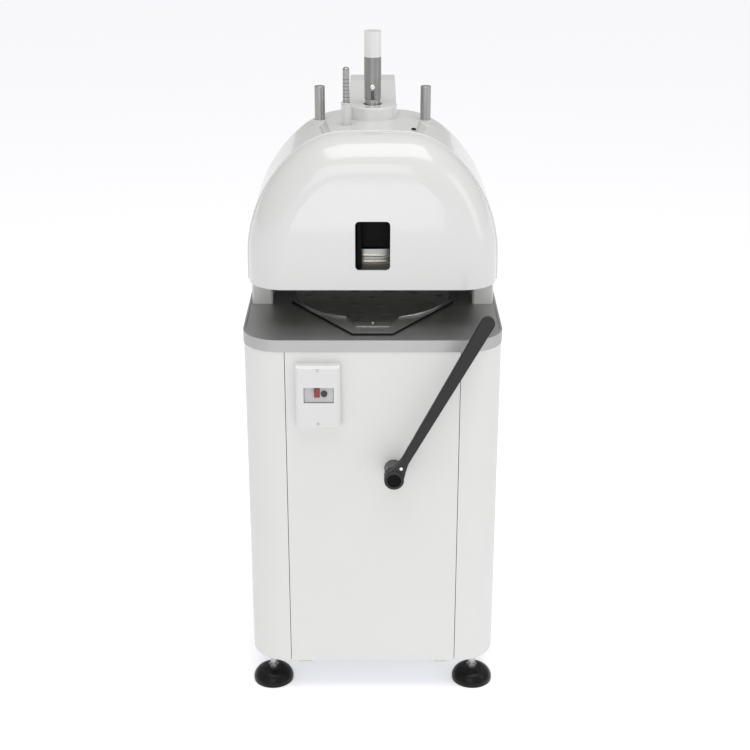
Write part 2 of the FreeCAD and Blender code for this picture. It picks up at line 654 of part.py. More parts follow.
def make_knives(parts):
    """Knife grid under its carrier plate, the press ring round it, and the two guide rods."""
    walls = [rod(0, AXIS_Y, KNIFE_PLATE_Z0, KNIFE_Z1, CELL_RINGS[-1])]
    for ring in CELL_RINGS:
        outer = min(ring + KNIFE_T / 2, CELL_RINGS[-1])
        walls.append(tube(0, AXIS_Y, KNIFE_Z0, KNIFE_Z1 - 2, outer, ring - KNIFE_T / 2))
    inner = 0.0
    for ring, count, turn in zip(CELL_RINGS, CELL_COUNTS, CELL_TURNS):
        for k in range(count):
            wall = wall_box(turn + 360.0 * k / count, inner, ring - 0.5, KNIFE_T)
            walls.append(wall.common(box(-300, 300, -300, 300, KNIFE_Z0, KNIFE_Z1 - 2)))
        inner = ring
    grid = walls[0].fuse(walls[1:])
    holes = []
    for _, _, middle, angle, _ in cell_centres():
        x, y = polar(middle, angle)
        holes.append(rod(x, y, KNIFE_PLATE_Z0 - 2, KNIFE_Z1 + 2, STEM_HOLE_R))
    parts["knife_grid"] = [grid.cut(holes).removeSplitter()]

    ring = tube(0, AXIS_Y, RING_Z0, RING_Z1, RING_OUT, RING_IN)
    groove = tube(0, AXIS_Y, 1148, 1154, RING_OUT + 2, RING_OUT - 2.5)
    shoulder = tube(0, AXIS_Y, 1160, KNIFE_Z1 - 4, RING_IN + 1, CELL_RINGS[-1])
    parts["press_ring"] = [fused([ring.cut(groove), shoulder])]
    parts["guide_rods"] = [guide_rod(x) for x in (-ROD_X, ROD_X)]


def guide_rod(x):
    """Guide rod with a chamfered top."""
    bar = rod(x, AXIS_Y, KNIFE_Z1, ROD_TOP, ROD_R)
    return bar.makeChamfer(0.8, [e for e in bar.Edges if e.BoundBox.ZMin > ROD_TOP - 1])


def make_scale(parts):
    """Clear tube on the head and the graduated rod that rides on the press plate."""
    parts["scale_tube"] = [tube(SCALE_X, SCALE_Y, 1438, TUBE_TOP, TUBE_R - 0.1, TUBE_R - 1.6)]
    rod_body = rod(SCALE_X, SCALE_Y, PRESS_PLATE_Z + PRESS_PLATE_T, SCALE_TOP, SCALE_R)
    tip = [e for e in rod_body.Edges if e.BoundBox.ZMin > SCALE_TOP - 1]
    parts["scale_rod"] = [rod_body.makeFillet(SCALE_R - 1, tip)]


# ---- table and drive --------------------------------------------------------------------------------------
def make_table(parts):
    """Plate carrier that orbits on the worktop and the removable dough plate."""
    back_y = AXIS_Y + math.hypot(CARRIER_SIDE_X, AXIS_Y - CARRIER_SIDE_Y)
    z = CARRIER_Z0
    left_tip = V(-CARRIER_TIP_HALF, CARRIER_TIP_Y, z)
    right_tip = V(CARRIER_TIP_HALF, CARRIER_TIP_Y, z)
    left_side = V(-CARRIER_SIDE_X, CARRIER_SIDE_Y, z)
    right_side = V(CARRIER_SIDE_X, CARRIER_SIDE_Y, z)
    outline = [Part.LineSegment(left_tip, right_tip),
               Part.LineSegment(right_tip, right_side),
               Part.Arc(right_side, V(0, back_y, z), left_side),
               Part.LineSegment(left_side, left_tip)]
    plan = Part.Face(Part.Wire([e.toShape() for e in outline]))
    sheet = plan.extrude(V(0, 0, CARRIER_Z1 - CARRIER_Z0))
    hub = fused([sheet, rod(0, AXIS_Y, CARRIER_HUB_Z, z + 1, 36),
                 rod(IDLER_X, AXIS_Y, CARRIER_HUB_Z, z + 1, 16)])
    bores = [rod(0, AXIS_Y, 960, z - 0.5, CRANK_PIN_TOP_R + RUN_FIT),
             rod(IDLER_X, AXIS_Y, 960, z - 0.5, IDLER_PIN_R + FREE_FIT)]
    parts["table_carrier"] = [hub.cut(bores)]

    disc = rod(0, AXIS_Y, PLATE_Z0, PLATE_Z1, PLATE_R)
    rim = [e for e in disc.Edges if e.BoundBox.ZMin > PLATE_Z1 - 0.1]
    disc = disc.makeFillet(2, rim)
    root_x, root_y = NOSE_ROOT
    tip_x, tip_y = NOSE_TIP
    outline = [(-root_x, root_y + 10), (-root_x, root_y), (-tip_x, tip_y), (tip_x, tip_y), (root_x, root_y),
               (root_x, root_y + 10)]
    nose = polygon([(x, y, PLATE_Z0) for x, y in outline]).extrude(V(0, 0, PLATE_Z1 - PLATE_Z0))
    ramp = polygon([(-root_x, NOSE_RAMP_Y, PLATE_Z1), (-root_x, tip_y, NOSE_LOW_Z),
                    (-root_x, tip_y - 1, NOSE_LOW_Z), (-root_x, tip_y - 1, PLATE_Z1 + 1),
                    (-root_x, NOSE_RAMP_Y, PLATE_Z1 + 1)])
    nose = nose.cut(ramp.extrude(V(2 * root_x, 0, 0)))
    plate = disc.fuse(nose).removeSplitter()
    dimples = []
    for _, _, middle, angle, _ in cell_centres():
        x, y = polar(middle, angle)
        dimples.append(Part.makeSphere(DIMPLE_R, V(x, y, PLATE_Z1 + DIMPLE_R - DIMPLE_DEPTH)))
    pin = rod(0, PLATE_PIN_Y, PLATE_Z0 + 1, PLATE_Z1 + 2.5, PLATE_PIN_R)
    parts["dough_plate"] = [plate.cut(dimples + [pin]), pin]


def make_quill(parts):
    """Lift quill with its slotted lug and flange, and the guide sleeve round it."""
    lug = box(-20, 95, -38, 15, 620, 652)
    quill = [rod(0, DRIVE_Y, QUILL_Z0, 940, QUILL_R), rod(0, DRIVE_Y, 939, QUILL_TOP, 85), lug]
    slot_z = LEVER_Z - CRANK_R * math.sin(math.radians(CRANK_DROP))
    slot_half = CRANK_PIN_R + 0.5
    slot = box(66, 87, -39, -18, slot_z - slot_half, slot_z + slot_half)
    bores = [rod(0, DRIVE_Y, 600, 960, QUILL_BORE), slot,
             rod(IDLER_X, DRIVE_Y, 930, 960, IDLER_R + RUN_FIT)]
    parts["lift_quill"] = [cut(fused(quill), bores)]
    z0 = UPPER_SHELF_Z + SHELF_T
    sleeve = fused([rod(0, DRIVE_Y, z0, 900, 50), rod(0, DRIVE_Y, z0, z0 + 12, 78)])
    parts["lift_guide_sleeve"] = [sleeve.cut(rod(0, DRIVE_Y, 600, 960, QUILL_R + RUN_FIT))]


def make_eccentric(parts):
    """Eccentric shaft in the quill and the idler crank that keeps the table from turning."""
    key = box(-4, 4, DRIVE_Y, DRIVE_Y + 18, 432, 600)
    shaft = [rod(0, DRIVE_Y, 430, QUILL_Z0, SHAFT_LOW_R),
             rod(0, DRIVE_Y, QUILL_Z0 - 6, QUILL_TOP + 2, QUILL_BORE - RUN_FIT),
             rod(0, DRIVE_Y, QUILL_TOP + 1, 962, 34),
             rod(0, AXIS_Y, 961, 983, CRANK_PIN_TOP_R), key]
    parts["eccentric_shaft"] = [fused(shaft)]
    web_z0 = QUILL_TOP + 1
    web_z1 = QUILL_TOP + 6
    idler = [rod(IDLER_X, DRIVE_Y, 938, QUILL_TOP + 2, IDLER_R),
             rod(IDLER_X, DRIVE_Y, web_z0, web_z1, 13),
             rod(IDLER_X, AXIS_Y, web_z0, 982, IDLER_PIN_R),
             box(IDLER_X - 8, IDLER_X + 8, DRIVE_Y, AXIS_Y, web_z0, web_z1)]
    parts["idler_crank"] = [fused(idler)]


def make_drive(parts):
    """Drive pulley, motor pulley, belt and motor."""
    rim_z0 = GROOVE_Z0 - 8
    rim_z1 = GROOVE_Z1 + 8
    groove = tube(0, DRIVE_Y, GROOVE_Z0, GROOVE_Z1, DRIVE_R + 8, DRIVE_R)
    recesses = [tube(0, DRIVE_Y, rim_z0 - 6, GROOVE_Z0 + 8, DRIVE_R - 10, 40),
                tube(0, DRIVE_Y, GROOVE_Z1 - 8, rim_z1 + 6, DRIVE_R - 10, 40)]
    rim = rod(0, DRIVE_Y, rim_z0, rim_z1, DRIVE_R + 6).cut([groove] + recesses)
    hub = rod(0, DRIVE_Y, LOWER_SHELF_Z - 2, 530, 25)
    pulley = fused([rim, hub, rod(0, DRIVE_Y, 453, rim_z0 + 1, 34)])
    keyway = box(-4.5, 4.5, DRIVE_Y, DRIVE_Y + 18.6, 400, 600)
    parts["drive_pulley"] = [pulley.cut([rod(0, DRIVE_Y, 400, 600, SHAFT_LOW_R + RUN_FIT), keyway])]

    groove = tube(0, MOTOR_Y, GROOVE_Z0, GROOVE_Z1, MOTOR_R + 8, MOTOR_R)
    small = rod(0, MOTOR_Y, rim_z0, rim_z1, MOTOR_R + 6).cut(groove)
    parts["motor_pulley"] = [fused([small, rod(0, MOTOR_Y, 400, rim_z0 + 1, MOTOR_SHAFT_R)])]

    near = DRIVE_R + BELT_GAP
    far = MOTOR_R + BELT_GAP
    inner = belt_face(near, DRIVE_Y, far, MOTOR_Y, GROOVE_Z0 + 1)
    outer = belt_face(near + BELT_T, DRIVE_Y, far + BELT_T, MOTOR_Y, GROOVE_Z0 + 1)
    belt = outer.cut(inner).extrude(V(0, 0, GROOVE_Z1 - GROOVE_Z0 - 2))
    parts["drive_belt"] = [belt.Solids[0]]

    terminals = box(MOTOR_CASE_R - 8, MOTOR_CASE_R + 26, MOTOR_Y - 25, MOTOR_Y + 25, 320, 380)
    motor = [rod(0, MOTOR_Y, 262, 430, MOTOR_CASE_R), rod(0, MOTOR_Y, 430, LOWER_SHELF_Z, 52), terminals]
    for fin in range(-2, 3):
        y = MOTOR_Y + 12 * fin
        motor.append(box(-MOTOR_CASE_R - 5, MOTOR_CASE_R + 5, y - 1.5, y + 1.5, 285, 425))
    parts["motor"] = [fused(motor).cut(rod(0, MOTOR_Y, 395, 450, MOTOR_SHAFT_R + FREE_FIT))]


def make_lever(parts):
    """Rounding lever: moulded arm and hub ring, metal sleeve, cap, shaft and crank."""
    ring = rod_y(0, 0, LEVER_FRONT, LEVER_FRONT + 32, HUB_R)
    rim = [e for e in ring.Edges if e.BoundBox.YMax < LEVER_FRONT + 0.1]
    ring = ring.makeFillet(2.5, rim)
    y0 = LEVER_FRONT + 3
    r_end = 17.0
    root = 10.5
    arm = [Part.LineSegment(V(-root, y0, 52), V(-r_end, y0, LEVER_LENGTH)),
           Part.Arc(V(-r_end, y0, LEVER_LENGTH), V(0, y0, LEVER_LENGTH + r_end), V(r_end, y0, LEVER_LENGTH)),
           Part.LineSegment(V(r_end, y0, LEVER_LENGTH), V(root, y0, 52)),
           Part.Arc(V(root, y0, 52), V(14.5, y0, 33), V(23, y0, 5)),
           Part.LineSegment(V(23, y0, 5), V(-23, y0, 5)),
           Part.Arc(V(-23, y0, 5), V(-14.5, y0, 33), V(-root, y0, 52))]
    bar = Part.Face(Part.Wire([e.toShape() for e in arm])).extrude(V(0, 15, 0))
    bar = bar.cut(rod_y(0, 0, -400, -300, HUB_R - 3))
    body = fused([ring, bar])
    edges = [e for e in body.Edges if e.BoundBox.ZMin > 60 and e.BoundBox.YLength < 0.1]
    body = body.makeFillet(3, edges)
    body = body.cut([rod_y(0, 0, -400, -300, SHAFT_R + 0.02),
                     rod_y(0, 0, LEVER_FRONT - 1, LEVER_FRONT + 8, LEVER_CAP_R + 0.2)])
    body.rotate(V(0, 0, 0), V(0, 1, 0), LEVER_ANGLE)
    body.translate(V(LEVER_X, 0, LEVER_Z))
    parts["lever_arm"] = [body]
    cap = rod_y(LEVER_X, LEVER_Z, LEVER_FRONT + 1.5, LEVER_FRONT + 8, LEVER_CAP_R)
    cap_rim = [e for e in cap.Edges if e.BoundBox.YMax < LEVER_FRONT + 2]
    parts["lever_cap"] = [cap.makeFillet(1.5, cap_rim)]
    sleeve = rod_y(LEVER_X, LEVER_Z, LEVER_FRONT + 32, -288, HUB_R - 1.6)
    parts["lever_hub_sleeve"] = [sleeve.cut(rod_y(LEVER_X, LEVER_Z, -400, -200, SHAFT_R + 0.02))]
    parts["lever_shaft"] = [rod_y(LEVER_X, LEVER_Z, LEVER_FRONT + 8, -44, SHAFT_R)]

    low = -math.radians(CRANK_DROP)
    px = LEVER_X + CRANK_R * math.cos(low)
    pz = LEVER_Z + CRANK_R * math.sin(low)
    web = box(0, CRANK_R, -60, -44, -10, 10)
    web.rotate(V(0, 0, 0), V(0, 1, 0), CRANK_DROP)
    web.translate(V(LEVER_X, 0, LEVER_Z))
    crank = fused([rod_y(LEVER_X, LEVER_Z, -60, -44, 24), web, rod_y(px, pz, -60, -44, 12),
                   rod_y(px, pz, -45, -21, CRANK_PIN_R)])
    parts["lever_crank"] = [crank.cut(rod_y(LEVER_X, LEVER_Z, -100, -30, SHAFT_R + 0.02))]

    blocks = []
    for y in (-200, -110):
        block = box(LEVER_X - 28, LEVER_X + 28, y, y + 28, LEVER_Z - 28, UPPER_SHELF_Z)
        blocks.append(block.cut(rod_y(LEVER_X, LEVER_Z, y - 1, y + 30, SHAFT_R + RUN_FIT)))
    parts["lever_bearings"] = blocks


def make_hydraulics(parts):
    """Oil tank, pump, valve block, pressure pipe up to the cylinder, and the mains cable's gland."""
    tank = box(-180, 210, -170, 300, CAB_BOTTOM + BASE_T, TANK_TOP)
    tank = tank.makeFillet(12, upright_edges(tank))
    inside = box(-177, 207, -167, 297, CAB_BOTTOM + BASE_T + 3, TANK_TOP - 3)
    inside = inside.makeFillet(9, upright_edges(inside))
    parts["oil_tank"] = [tank.cut([inside, rod(PUMP_X, PUMP_Y, 200, 240, 45)])]
    pump = [rod(PUMP_X, PUMP_Y, TANK_TOP, 262, 70), rod(PUMP_X, PUMP_Y, 262, 400, 58),
            rod(PUMP_X, PUMP_Y, 400, 412, 62)]
    parts["hydraulic_pump"] = [fused(pump)]
    parts["valve_block"] = [box(135, 205, 250, 298, TANK_TOP, 300)]

    bend = 40.0
    points = [V(PIPE_X, PIPE_Y, 300), V(PIPE_X, PIPE_Y, 880), V(0, PIPE_BACK_Y, 880),
              V(0, PIPE_BACK_Y, PIPE_IN_Z), V(0, AXIS_Y + CYL_R, PIPE_IN_Z)]
    path = []
    start = points[0]
    for before, corner, after in zip(points, points[1:], points[2:]):
        into = (corner - before).normalize()
        out = (after - corner).normalize()
        a = corner - into * bend
        b = corner + out * bend
        bulge = (into * -1 + out).normalize() * (bend * (math.sqrt(2) - 1))
        path.append(Part.LineSegment(start, a).toShape())
        path.append(Part.Arc(a, corner + bulge, b).toShape())
        start = b
    path.append(Part.LineSegment(start, points[-1]).toShape())
    ring = Part.Wire(Part.Circle(points[0], V(0, 0, 1), PIPE_R).toShape())
    parts["pressure_pipe"] = [Part.Wire(path).makePipeShell([ring], True, False)]

    gland = [rod(GLAND_X, GLAND_Y, CAB_BOTTOM - 14, CAB_BOTTOM, 15),
             rod(GLAND_X, GLAND_Y, CAB_BOTTOM - 20, CAB_BOTTOM + 20, 10)]
    parts["cable_gland"] = [fused(gland).cut(rod(GLAND_X, GLAND_Y, 60, 130, 5))]


# ---- switch box -------------------------------------------------------------------------------------------
def make_switch_box(parts):
    """Bevelled switch box on the front panel, the breaker in it and the two push buttons."""
    x0 = BOX_X - BOX_W / 2
    x1 = BOX_X + BOX_W / 2
    y0 = CAB_FRONT - BOX_DEPTH
    block = box(x0, x1, y0, CAB_FRONT, BOX_Z0, BOX_Z1)
    block = block.makeChamfer(6, [e for e in block.Edges if e.BoundBox.YMax < y0 + 0.1])
    cavity = box(x0 + 3, x1 - 3, y0 + 3, CAB_FRONT + 1, BOX_Z0 + 3, BOX_Z1 - 3)
    cavity = cavity.makeChamfer(5, [e for e in cavity.Edges if e.BoundBox.YMax < y0 + 3.1])
    window = box(CUT_X0, CUT_X1, y0 - 1, y0 + 5, CUT_Z0, CUT_Z1)
    holes = [rod_y(BOX_X, z, y0 - 1, y0 + 5, 2.6) for z in box_screw_heights()]
    parts["switch_box"] = [block.cut([cavity, window] + holes)]

    body = box(CUT_X0 + 1, CUT_X1 - 1, y0 + 3.5, CAB_FRONT + 14, CUT_Z0 + 1, CUT_Z1 - 1)
    pockets = [box(STOP_X0 - KEY_FIT, STOP_X1 + KEY_FIT, y0, y0 + 14, CUT_Z0 + 15 - KEY_FIT, CUT_Z1),
               rod_y(START_X, START_Z, y0, y0 + 14, START_R + KEY_FIT)]
    parts["breaker_body"] = [body.cut(pockets)]
    stop = box(STOP_X0, STOP_X1, y0 - 1.5, y0 + 9, CUT_Z0 + 15, CUT_Z1 - 1.5)
    parts["stop_button"] = [stop.makeFillet(1.5, [e for e in stop.Edges if e.BoundBox.YMax < y0 - 1])]
    start = rod_y(START_X, START_Z, y0 - 1.5, y0 + 9, START_R)
    parts["start_button"] = [start.makeFillet(1.5, [e for e in start.Edges if e.BoundBox.YMax < y0 - 1])]


def make_screws(parts):
    """Screws of the switch box and the rear panel."""
    screws = []
    y0 = CAB_FRONT - BOX_DEPTH
    for z in box_screw_heights():
        head = rod_y(BOX_X, z, y0 - 2, y0, BOX_SCREW_R)
        screws.append(fused([head, rod_y(BOX_X, z, y0 - 1, CAB_FRONT + 8, 2.5)]))
    for x, z in rear_screw_places():
        head = rod_y(x, z, CAB_BACK, CAB_BACK + 3, 6)
        screws.append(fused([head, rod_y(x, z, CAB_BACK - 12, CAB_BACK + 1, 3)]))
    parts["cover_screws"] = screws


# ---- write ------------------------------------------------------------------------------------------------
def main():
    """Build every sub-part and write one STEP file for each."""
    parts = {}
    for make in (make_feet, make_frame, make_cabinet, make_worktop, make_column, make_head_frame, make_head,
                 make_press, make_knives, make_scale, make_table, make_quill, make_eccentric, make_drive,
                 make_lever, make_hydraulics, make_switch_box, make_screws):
        make(parts)
    os.makedirs("parts", exist_ok=True)
    whole = FreeCAD.BoundBox()
    for name, solids in parts.items():
        flat = []
        for solid in solids:
            flat += solid.Solids
        shape = flat[0] if len(flat) == 1 else Part.makeCompound(flat)
        shape.exportStep("parts/" + name + ".step")
        whole.add(shape.optimalBoundingBox(False, False))
        valid = all(s.isValid() and s.Volume > 0 for s in flat)
        print(name, "solids", len(flat), "valid", valid, "cm3", round(shape.Volume / 1000.0, 1))
    limits = (whole.XMin, whole.XMax, whole.YMin, whole.YMax, whole.ZMin, whole.ZMax)
    print(len(parts), "nodes", [round(v, 2) for v in limits])


main()
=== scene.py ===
"""Looks of a floor-standing dough divider and rounder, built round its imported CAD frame.

Metres throughout: origin on the floor under the machine, +X to the right, +Y to the rear, +Z up.
"""
import json
import logging
import math
from collections.abc import Callable, Iterable, Sequence
from dataclasses import dataclass
from enum import Enum

import bmesh
import bpy
from mathutils import Matrix, Vector


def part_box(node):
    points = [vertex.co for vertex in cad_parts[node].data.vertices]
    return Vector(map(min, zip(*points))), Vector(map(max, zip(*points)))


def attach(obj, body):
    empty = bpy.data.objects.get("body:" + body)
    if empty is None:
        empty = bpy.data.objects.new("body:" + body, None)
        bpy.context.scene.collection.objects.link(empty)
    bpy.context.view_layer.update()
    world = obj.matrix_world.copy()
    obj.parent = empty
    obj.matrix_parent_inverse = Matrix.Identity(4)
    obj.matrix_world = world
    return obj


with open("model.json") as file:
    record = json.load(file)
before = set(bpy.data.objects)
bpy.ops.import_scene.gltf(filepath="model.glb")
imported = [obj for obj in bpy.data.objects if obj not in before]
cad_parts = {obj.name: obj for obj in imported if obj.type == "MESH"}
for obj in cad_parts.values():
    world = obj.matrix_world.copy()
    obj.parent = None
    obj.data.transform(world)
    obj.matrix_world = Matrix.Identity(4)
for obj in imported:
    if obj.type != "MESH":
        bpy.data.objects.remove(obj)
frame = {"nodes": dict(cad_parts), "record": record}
LOG = logging.getLogger("divider")
WELD = 1e-6                    # points nearer than this are one point
Colour = tuple[float, float, float]
Point = tuple[float, float, float]
FLOAT = "NodeSocketFloat"
COLOUR = "NodeSocketColor"
VECTOR = ("Vector", "NodeSocketVector", None)
ENAMEL_DUST: Colour = (0.72, 0.71, 0.69)
STEEL_DUST: Colour = (0.7, 0.69, 0.66)
MOULDING_DUST: Colour = (0.45, 0.44, 0.42)


# ---- places from the frame ---------------------------------------------------------------------------------
def tidy(value: float) -> float:
    """Round a length to a tenth of a millimetre."""
    return round(value, 4)


def middle(node: str) -> Point:
    """Middle of a CAD node's box."""
    low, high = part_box(node)
    return tuple(tidy((a + b) / 2) for a, b in zip(low, high))


def half_width(node: str) -> float:
    """Half of a CAD node's width along X."""
    low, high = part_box(node)
    return tidy((high.x - low.x) / 2)


def lowest(node: str) -> Point:
    """Lowest corner of a CAD node's box."""
    return tuple(tidy(v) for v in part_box(node)[0])


def highest(node: str) -> Point:
    """Highest corner of a CAD node's box."""
    return tuple(tidy(v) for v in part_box(node)[1])


# ---- shader helpers --------------------------------------------------------------------------------------
class Effect(Enum):
    """Shared shader effects, each one node group."""

    GRAIN = "fine_grain"
    DRIFT = "tone_drift"
    BRUSH = "brush_lines"
    RINGS = "turned_rings"
    DUST = "settled_dust"
    SMUDGE = "wipe_marks"


class Wiring:
    """Adds nodes to a node tree and joins them."""

    def __init__(self, tree: bpy.types.NodeTree) -> None:
        """Keep the tree.

        Args:
            tree: the material's or the group's node tree.
        """
        self.tree = tree

    def add(self, kind: str, values: dict[str, object] | None = None, **props: object) -> bpy.types.Node:
        """Add one node.

        Args:
            kind: Blender's node type name.
            values: input values by socket name.
            props: properties of the node itself.

        Returns:
            The new node.
        """
        node = self.tree.nodes.new(kind)
        for key, value in props.items():
            setattr(node, key, value)
        for key, value in (values or {}).items():
            node.inputs[key].default_value = value
        return node

    def join(self, source: bpy.types.NodeSocket, target: bpy.types.NodeSocket) -> None:
        """Link an output socket to an input socket."""
        self.tree.links.new(source, target)

    def maths(self, operation: str, first: bpy.types.NodeSocket, second: float | bpy.types.NodeSocket,
              clamp: bool = False) -> bpy.types.NodeSocket:
        """Add a Math node.

        Args:
            operation: the node's operation.
            first: socket of the first operand.
            second: number or socket of the second operand.
            clamp: whether the result is clamped to 0 and 1.

        Returns:
            The node's output socket.
        """
        node = self.add("ShaderNodeMath", operation=operation, use_clamp=clamp)
        self.join(first, node.inputs[0])
        if isinstance(second, (int, float)):
            node.inputs[1].default_value = second
        else:
            self.join(second, node.inputs[1])
        return node.outputs[0]

    def remap(self, source: bpy.types.NodeSocket, low: float, high: float, to_low: float = 0.0,
              to_high: float = 1.0) -> bpy.types.NodeSocket:
        """Add a Map Range node and return its output socket."""
        node = self.add("ShaderNodeMapRange", {"From Min": low, "From Max": high,
                                               "To Min": to_low, "To Max": to_high})
        self.join(source, node.inputs["Value"])
        return node.outputs["Result"]

    def blend(self, factor: bpy.types.NodeSocket, first: Colour | bpy.types.NodeSocket,
              second: Colour | bpy.types.NodeSocket) -> bpy.types.NodeSocket:
        """Mix two colours by a factor and return the colour socket."""
        node = self.add("ShaderNodeMix", data_type="RGBA")
        self.join(factor, node.inputs["Factor"])
        for socket, colour in ((node.inputs[6], first), (node.inputs[7], second)):
            if isinstance(colour, tuple):
                socket.default_value = (*colour, 1.0)
            else:
                self.join(colour, socket)
        return node.outputs[2]


class EffectLibrary:
    """Builds each shared effect once, as a node group."""

    def __init__(self) -> None:
        """Start with no groups built."""
        self.built: dict[Effect, bpy.types.NodeTree] = {}

    def get(self, effect: Effect) -> bpy.types.NodeTree:
        """Return an effect's node group, built on first use."""
        if effect not in self.built:
            makers = {Effect.GRAIN: self._grain, Effect.DRIFT: self._drift, Effect.BRUSH: self._brush,
                      Effect.RINGS: self._rings, Effect.DUST: self._dust, Effect.SMUDGE: self._smudge}
            self.built[effect] = makers[effect](effect.value)
        return self.built[effect]

    @staticmethod
    def _open(name: str, inputs: Sequence[tuple[str, str, object]],
              outputs: Sequence[tuple[str, str]]) -> tuple[Wiring, bpy.types.Node, bpy.types.Node]:
        """Start a group.

        Args:
            name: the group's name.
            inputs: socket name, socket type and default of each input.
            outputs: socket name and socket type of each output.

        Returns:
            The wiring, the group's input node and its output node.
        """
        tree = bpy.data.node_groups.new(name, "ShaderNodeTree")
        for label, kind, value in inputs:
            socket = tree.interface.new_socket(label, in_out="INPUT", socket_type=kind)
            if value is not None:
                socket.default_value = value
        for label, kind in outputs:
            tree.interface.new_socket(label, in_out="OUTPUT", socket_type=kind)
        wiring = Wiring(tree)
        return wiring, wiring.add("NodeGroupInput"), wiring.add("NodeGroupOutput")

    def _grain(self, name: str) -> bpy.types.NodeTree:
        """Fine even grain, such as orange peel on enamel or the skin of a moulding."""
        inputs = [VECTOR, ("Scale", FLOAT, 600.0), ("Softness", FLOAT, 0.5)]
        w, start, end = self._open(name, inputs, [("Height", FLOAT), ("Mask", FLOAT)])
        noise = w.add("ShaderNodeTexNoise", {"Detail": 2.0})
        w.join(start.outputs["Vector"], noise.inputs["Vector"])
        w.join(start.outputs["Scale"], noise.inputs["Scale"])
        w.join(start.outputs["Softness"], noise.inputs["Roughness"])
        w.join(noise.outputs[0], end.inputs["Height"])
        w.join(w.remap(noise.outputs[0], 0.35, 0.65), end.inputs["Mask"])
        return w.tree

    def _drift(self, name: str) -> bpy.types.NodeTree:
        """Slow change of tone over a surface, between two colours."""
        inputs = [VECTOR, ("Scale", FLOAT, 3.0), ("Low", COLOUR, None), ("High", COLOUR, None)]
        w, start, end = self._open(name, inputs, [("Colour", COLOUR)])
        noise = w.add("ShaderNodeTexNoise", {"Detail": 3.0, "Roughness": 0.45})
        w.join(start.outputs["Vector"], noise.inputs["Vector"])
        w.join(start.outputs["Scale"], noise.inputs["Scale"])
        spread = w.remap(noise.outputs[0], 0.3, 0.7)
        w.join(w.blend(spread, start.outputs["Low"], start.outputs["High"]), end.inputs["Colour"])
        return w.tree

    def _brush(self, name: str) -> bpy.types.NodeTree:
        """Straight brush lines along the long axis of a stretched vector."""
        inputs = [VECTOR, ("Scale", FLOAT, 1.0)]
        w, start, end = self._open(name, inputs, [("Height", FLOAT), ("Mask", FLOAT)])
        fine = w.add("ShaderNodeTexNoise", {"Detail": 4.0, "Roughness": 0.7})
        w.join(start.outputs["Vector"], fine.inputs["Vector"])
        w.join(start.outputs["Scale"], fine.inputs["Scale"])
        w.join(fine.outputs[0], end.inputs["Height"])
        w.join(w.remap(fine.outputs[0], 0.38, 0.62), end.inputs["Mask"])
        return w.tree

    def _rings(self, name: str) -> bpy.types.NodeTree:
        """Turning marks round the Z axis of a centred vector, and up it."""
        inputs = [VECTOR, ("Scale", FLOAT, 1500.0)]
        w, start, end = self._open(name, inputs, [("Height", FLOAT), ("Mask", FLOAT)])
        split = w.add("ShaderNodeSeparateXYZ")
        w.join(start.outputs["Vector"], split.inputs[0])
        across = w.maths("MULTIPLY", split.outputs["X"], split.outputs["X"])
        along = w.maths("MULTIPLY", split.outputs["Y"], split.outputs["Y"])
        radius = w.maths("SQRT", w.maths("ADD", across, along), 0.0)
        pair = w.add("ShaderNodeCombineXYZ")
        w.join(radius, pair.inputs["X"])
        w.join(split.outputs["Z"], pair.inputs["Y"])
        noise = w.add("ShaderNodeTexNoise", {"Detail": 3.0, "Roughness": 0.6})
        w.join(pair.outputs[0], noise.inputs["Vector"])
        w.join(start.outputs["Scale"], noise.inputs["Scale"])
        w.join(noise.outputs[0], end.inputs["Height"])
        w.join(w.remap(noise.outputs[0], 0.38, 0.62), end.inputs["Mask"])
        return w.tree

    def _dust(self, name: str) -> bpy.types.NodeTree:
        """Flour dust on surfaces that face up, broken by noise."""
        w, start, end = self._open(name, [VECTOR, ("Amount", FLOAT, 0.2)], [("Mask", FLOAT)])
        facing = w.add("ShaderNodeSeparateXYZ")
        geometry = w.add("ShaderNodeNewGeometry")
        w.join(geometry.outputs["Normal"], facing.inputs[0])
        up = w.remap(facing.outputs["Z"], 0.6, 1.0)
        noise = w.add("ShaderNodeTexNoise", {"Scale": 60.0, "Detail": 5.0, "Roughness": 0.65})
        w.join(start.outputs["Vector"], noise.inputs["Vector"])
        patch = w.remap(noise.outputs[0], 0.4, 0.7)
        settled = w.maths("MULTIPLY", up, patch)
        w.join(w.maths("MULTIPLY", settled, start.outputs["Amount"], True), end.inputs["Mask"])
        return w.tree

    def _smudge(self, name: str) -> bpy.types.NodeTree:
        """Faint wipe marks and finger marks that change the roughness."""
        inputs = [VECTOR, ("Scale", FLOAT, 9.0), ("Low", FLOAT, 0.2), ("High", FLOAT, 0.3)]
        w, start, end = self._open(name, inputs, [("Roughness", FLOAT)])
        noise = w.add("ShaderNodeTexNoise", {"Detail": 5.0, "Roughness": 0.55, "Distortion": 1.2})
        w.join(start.outputs["Vector"], noise.inputs["Vector"])
        w.join(start.outputs["Scale"], noise.inputs["Scale"])
        spread = w.add("ShaderNodeMapRange", {"From Min": 0.3, "From Max": 0.7})
        w.join(noise.outputs[0], spread.inputs["Value"])
        w.join(start.outputs["Low"], spread.inputs["To Min"])
        w.join(start.outputs["High"], spread.inputs["To Max"])
        w.join(spread.outputs["Result"], end.inputs["Roughness"])
        return w.tree


EFFECTS = EffectLibrary()


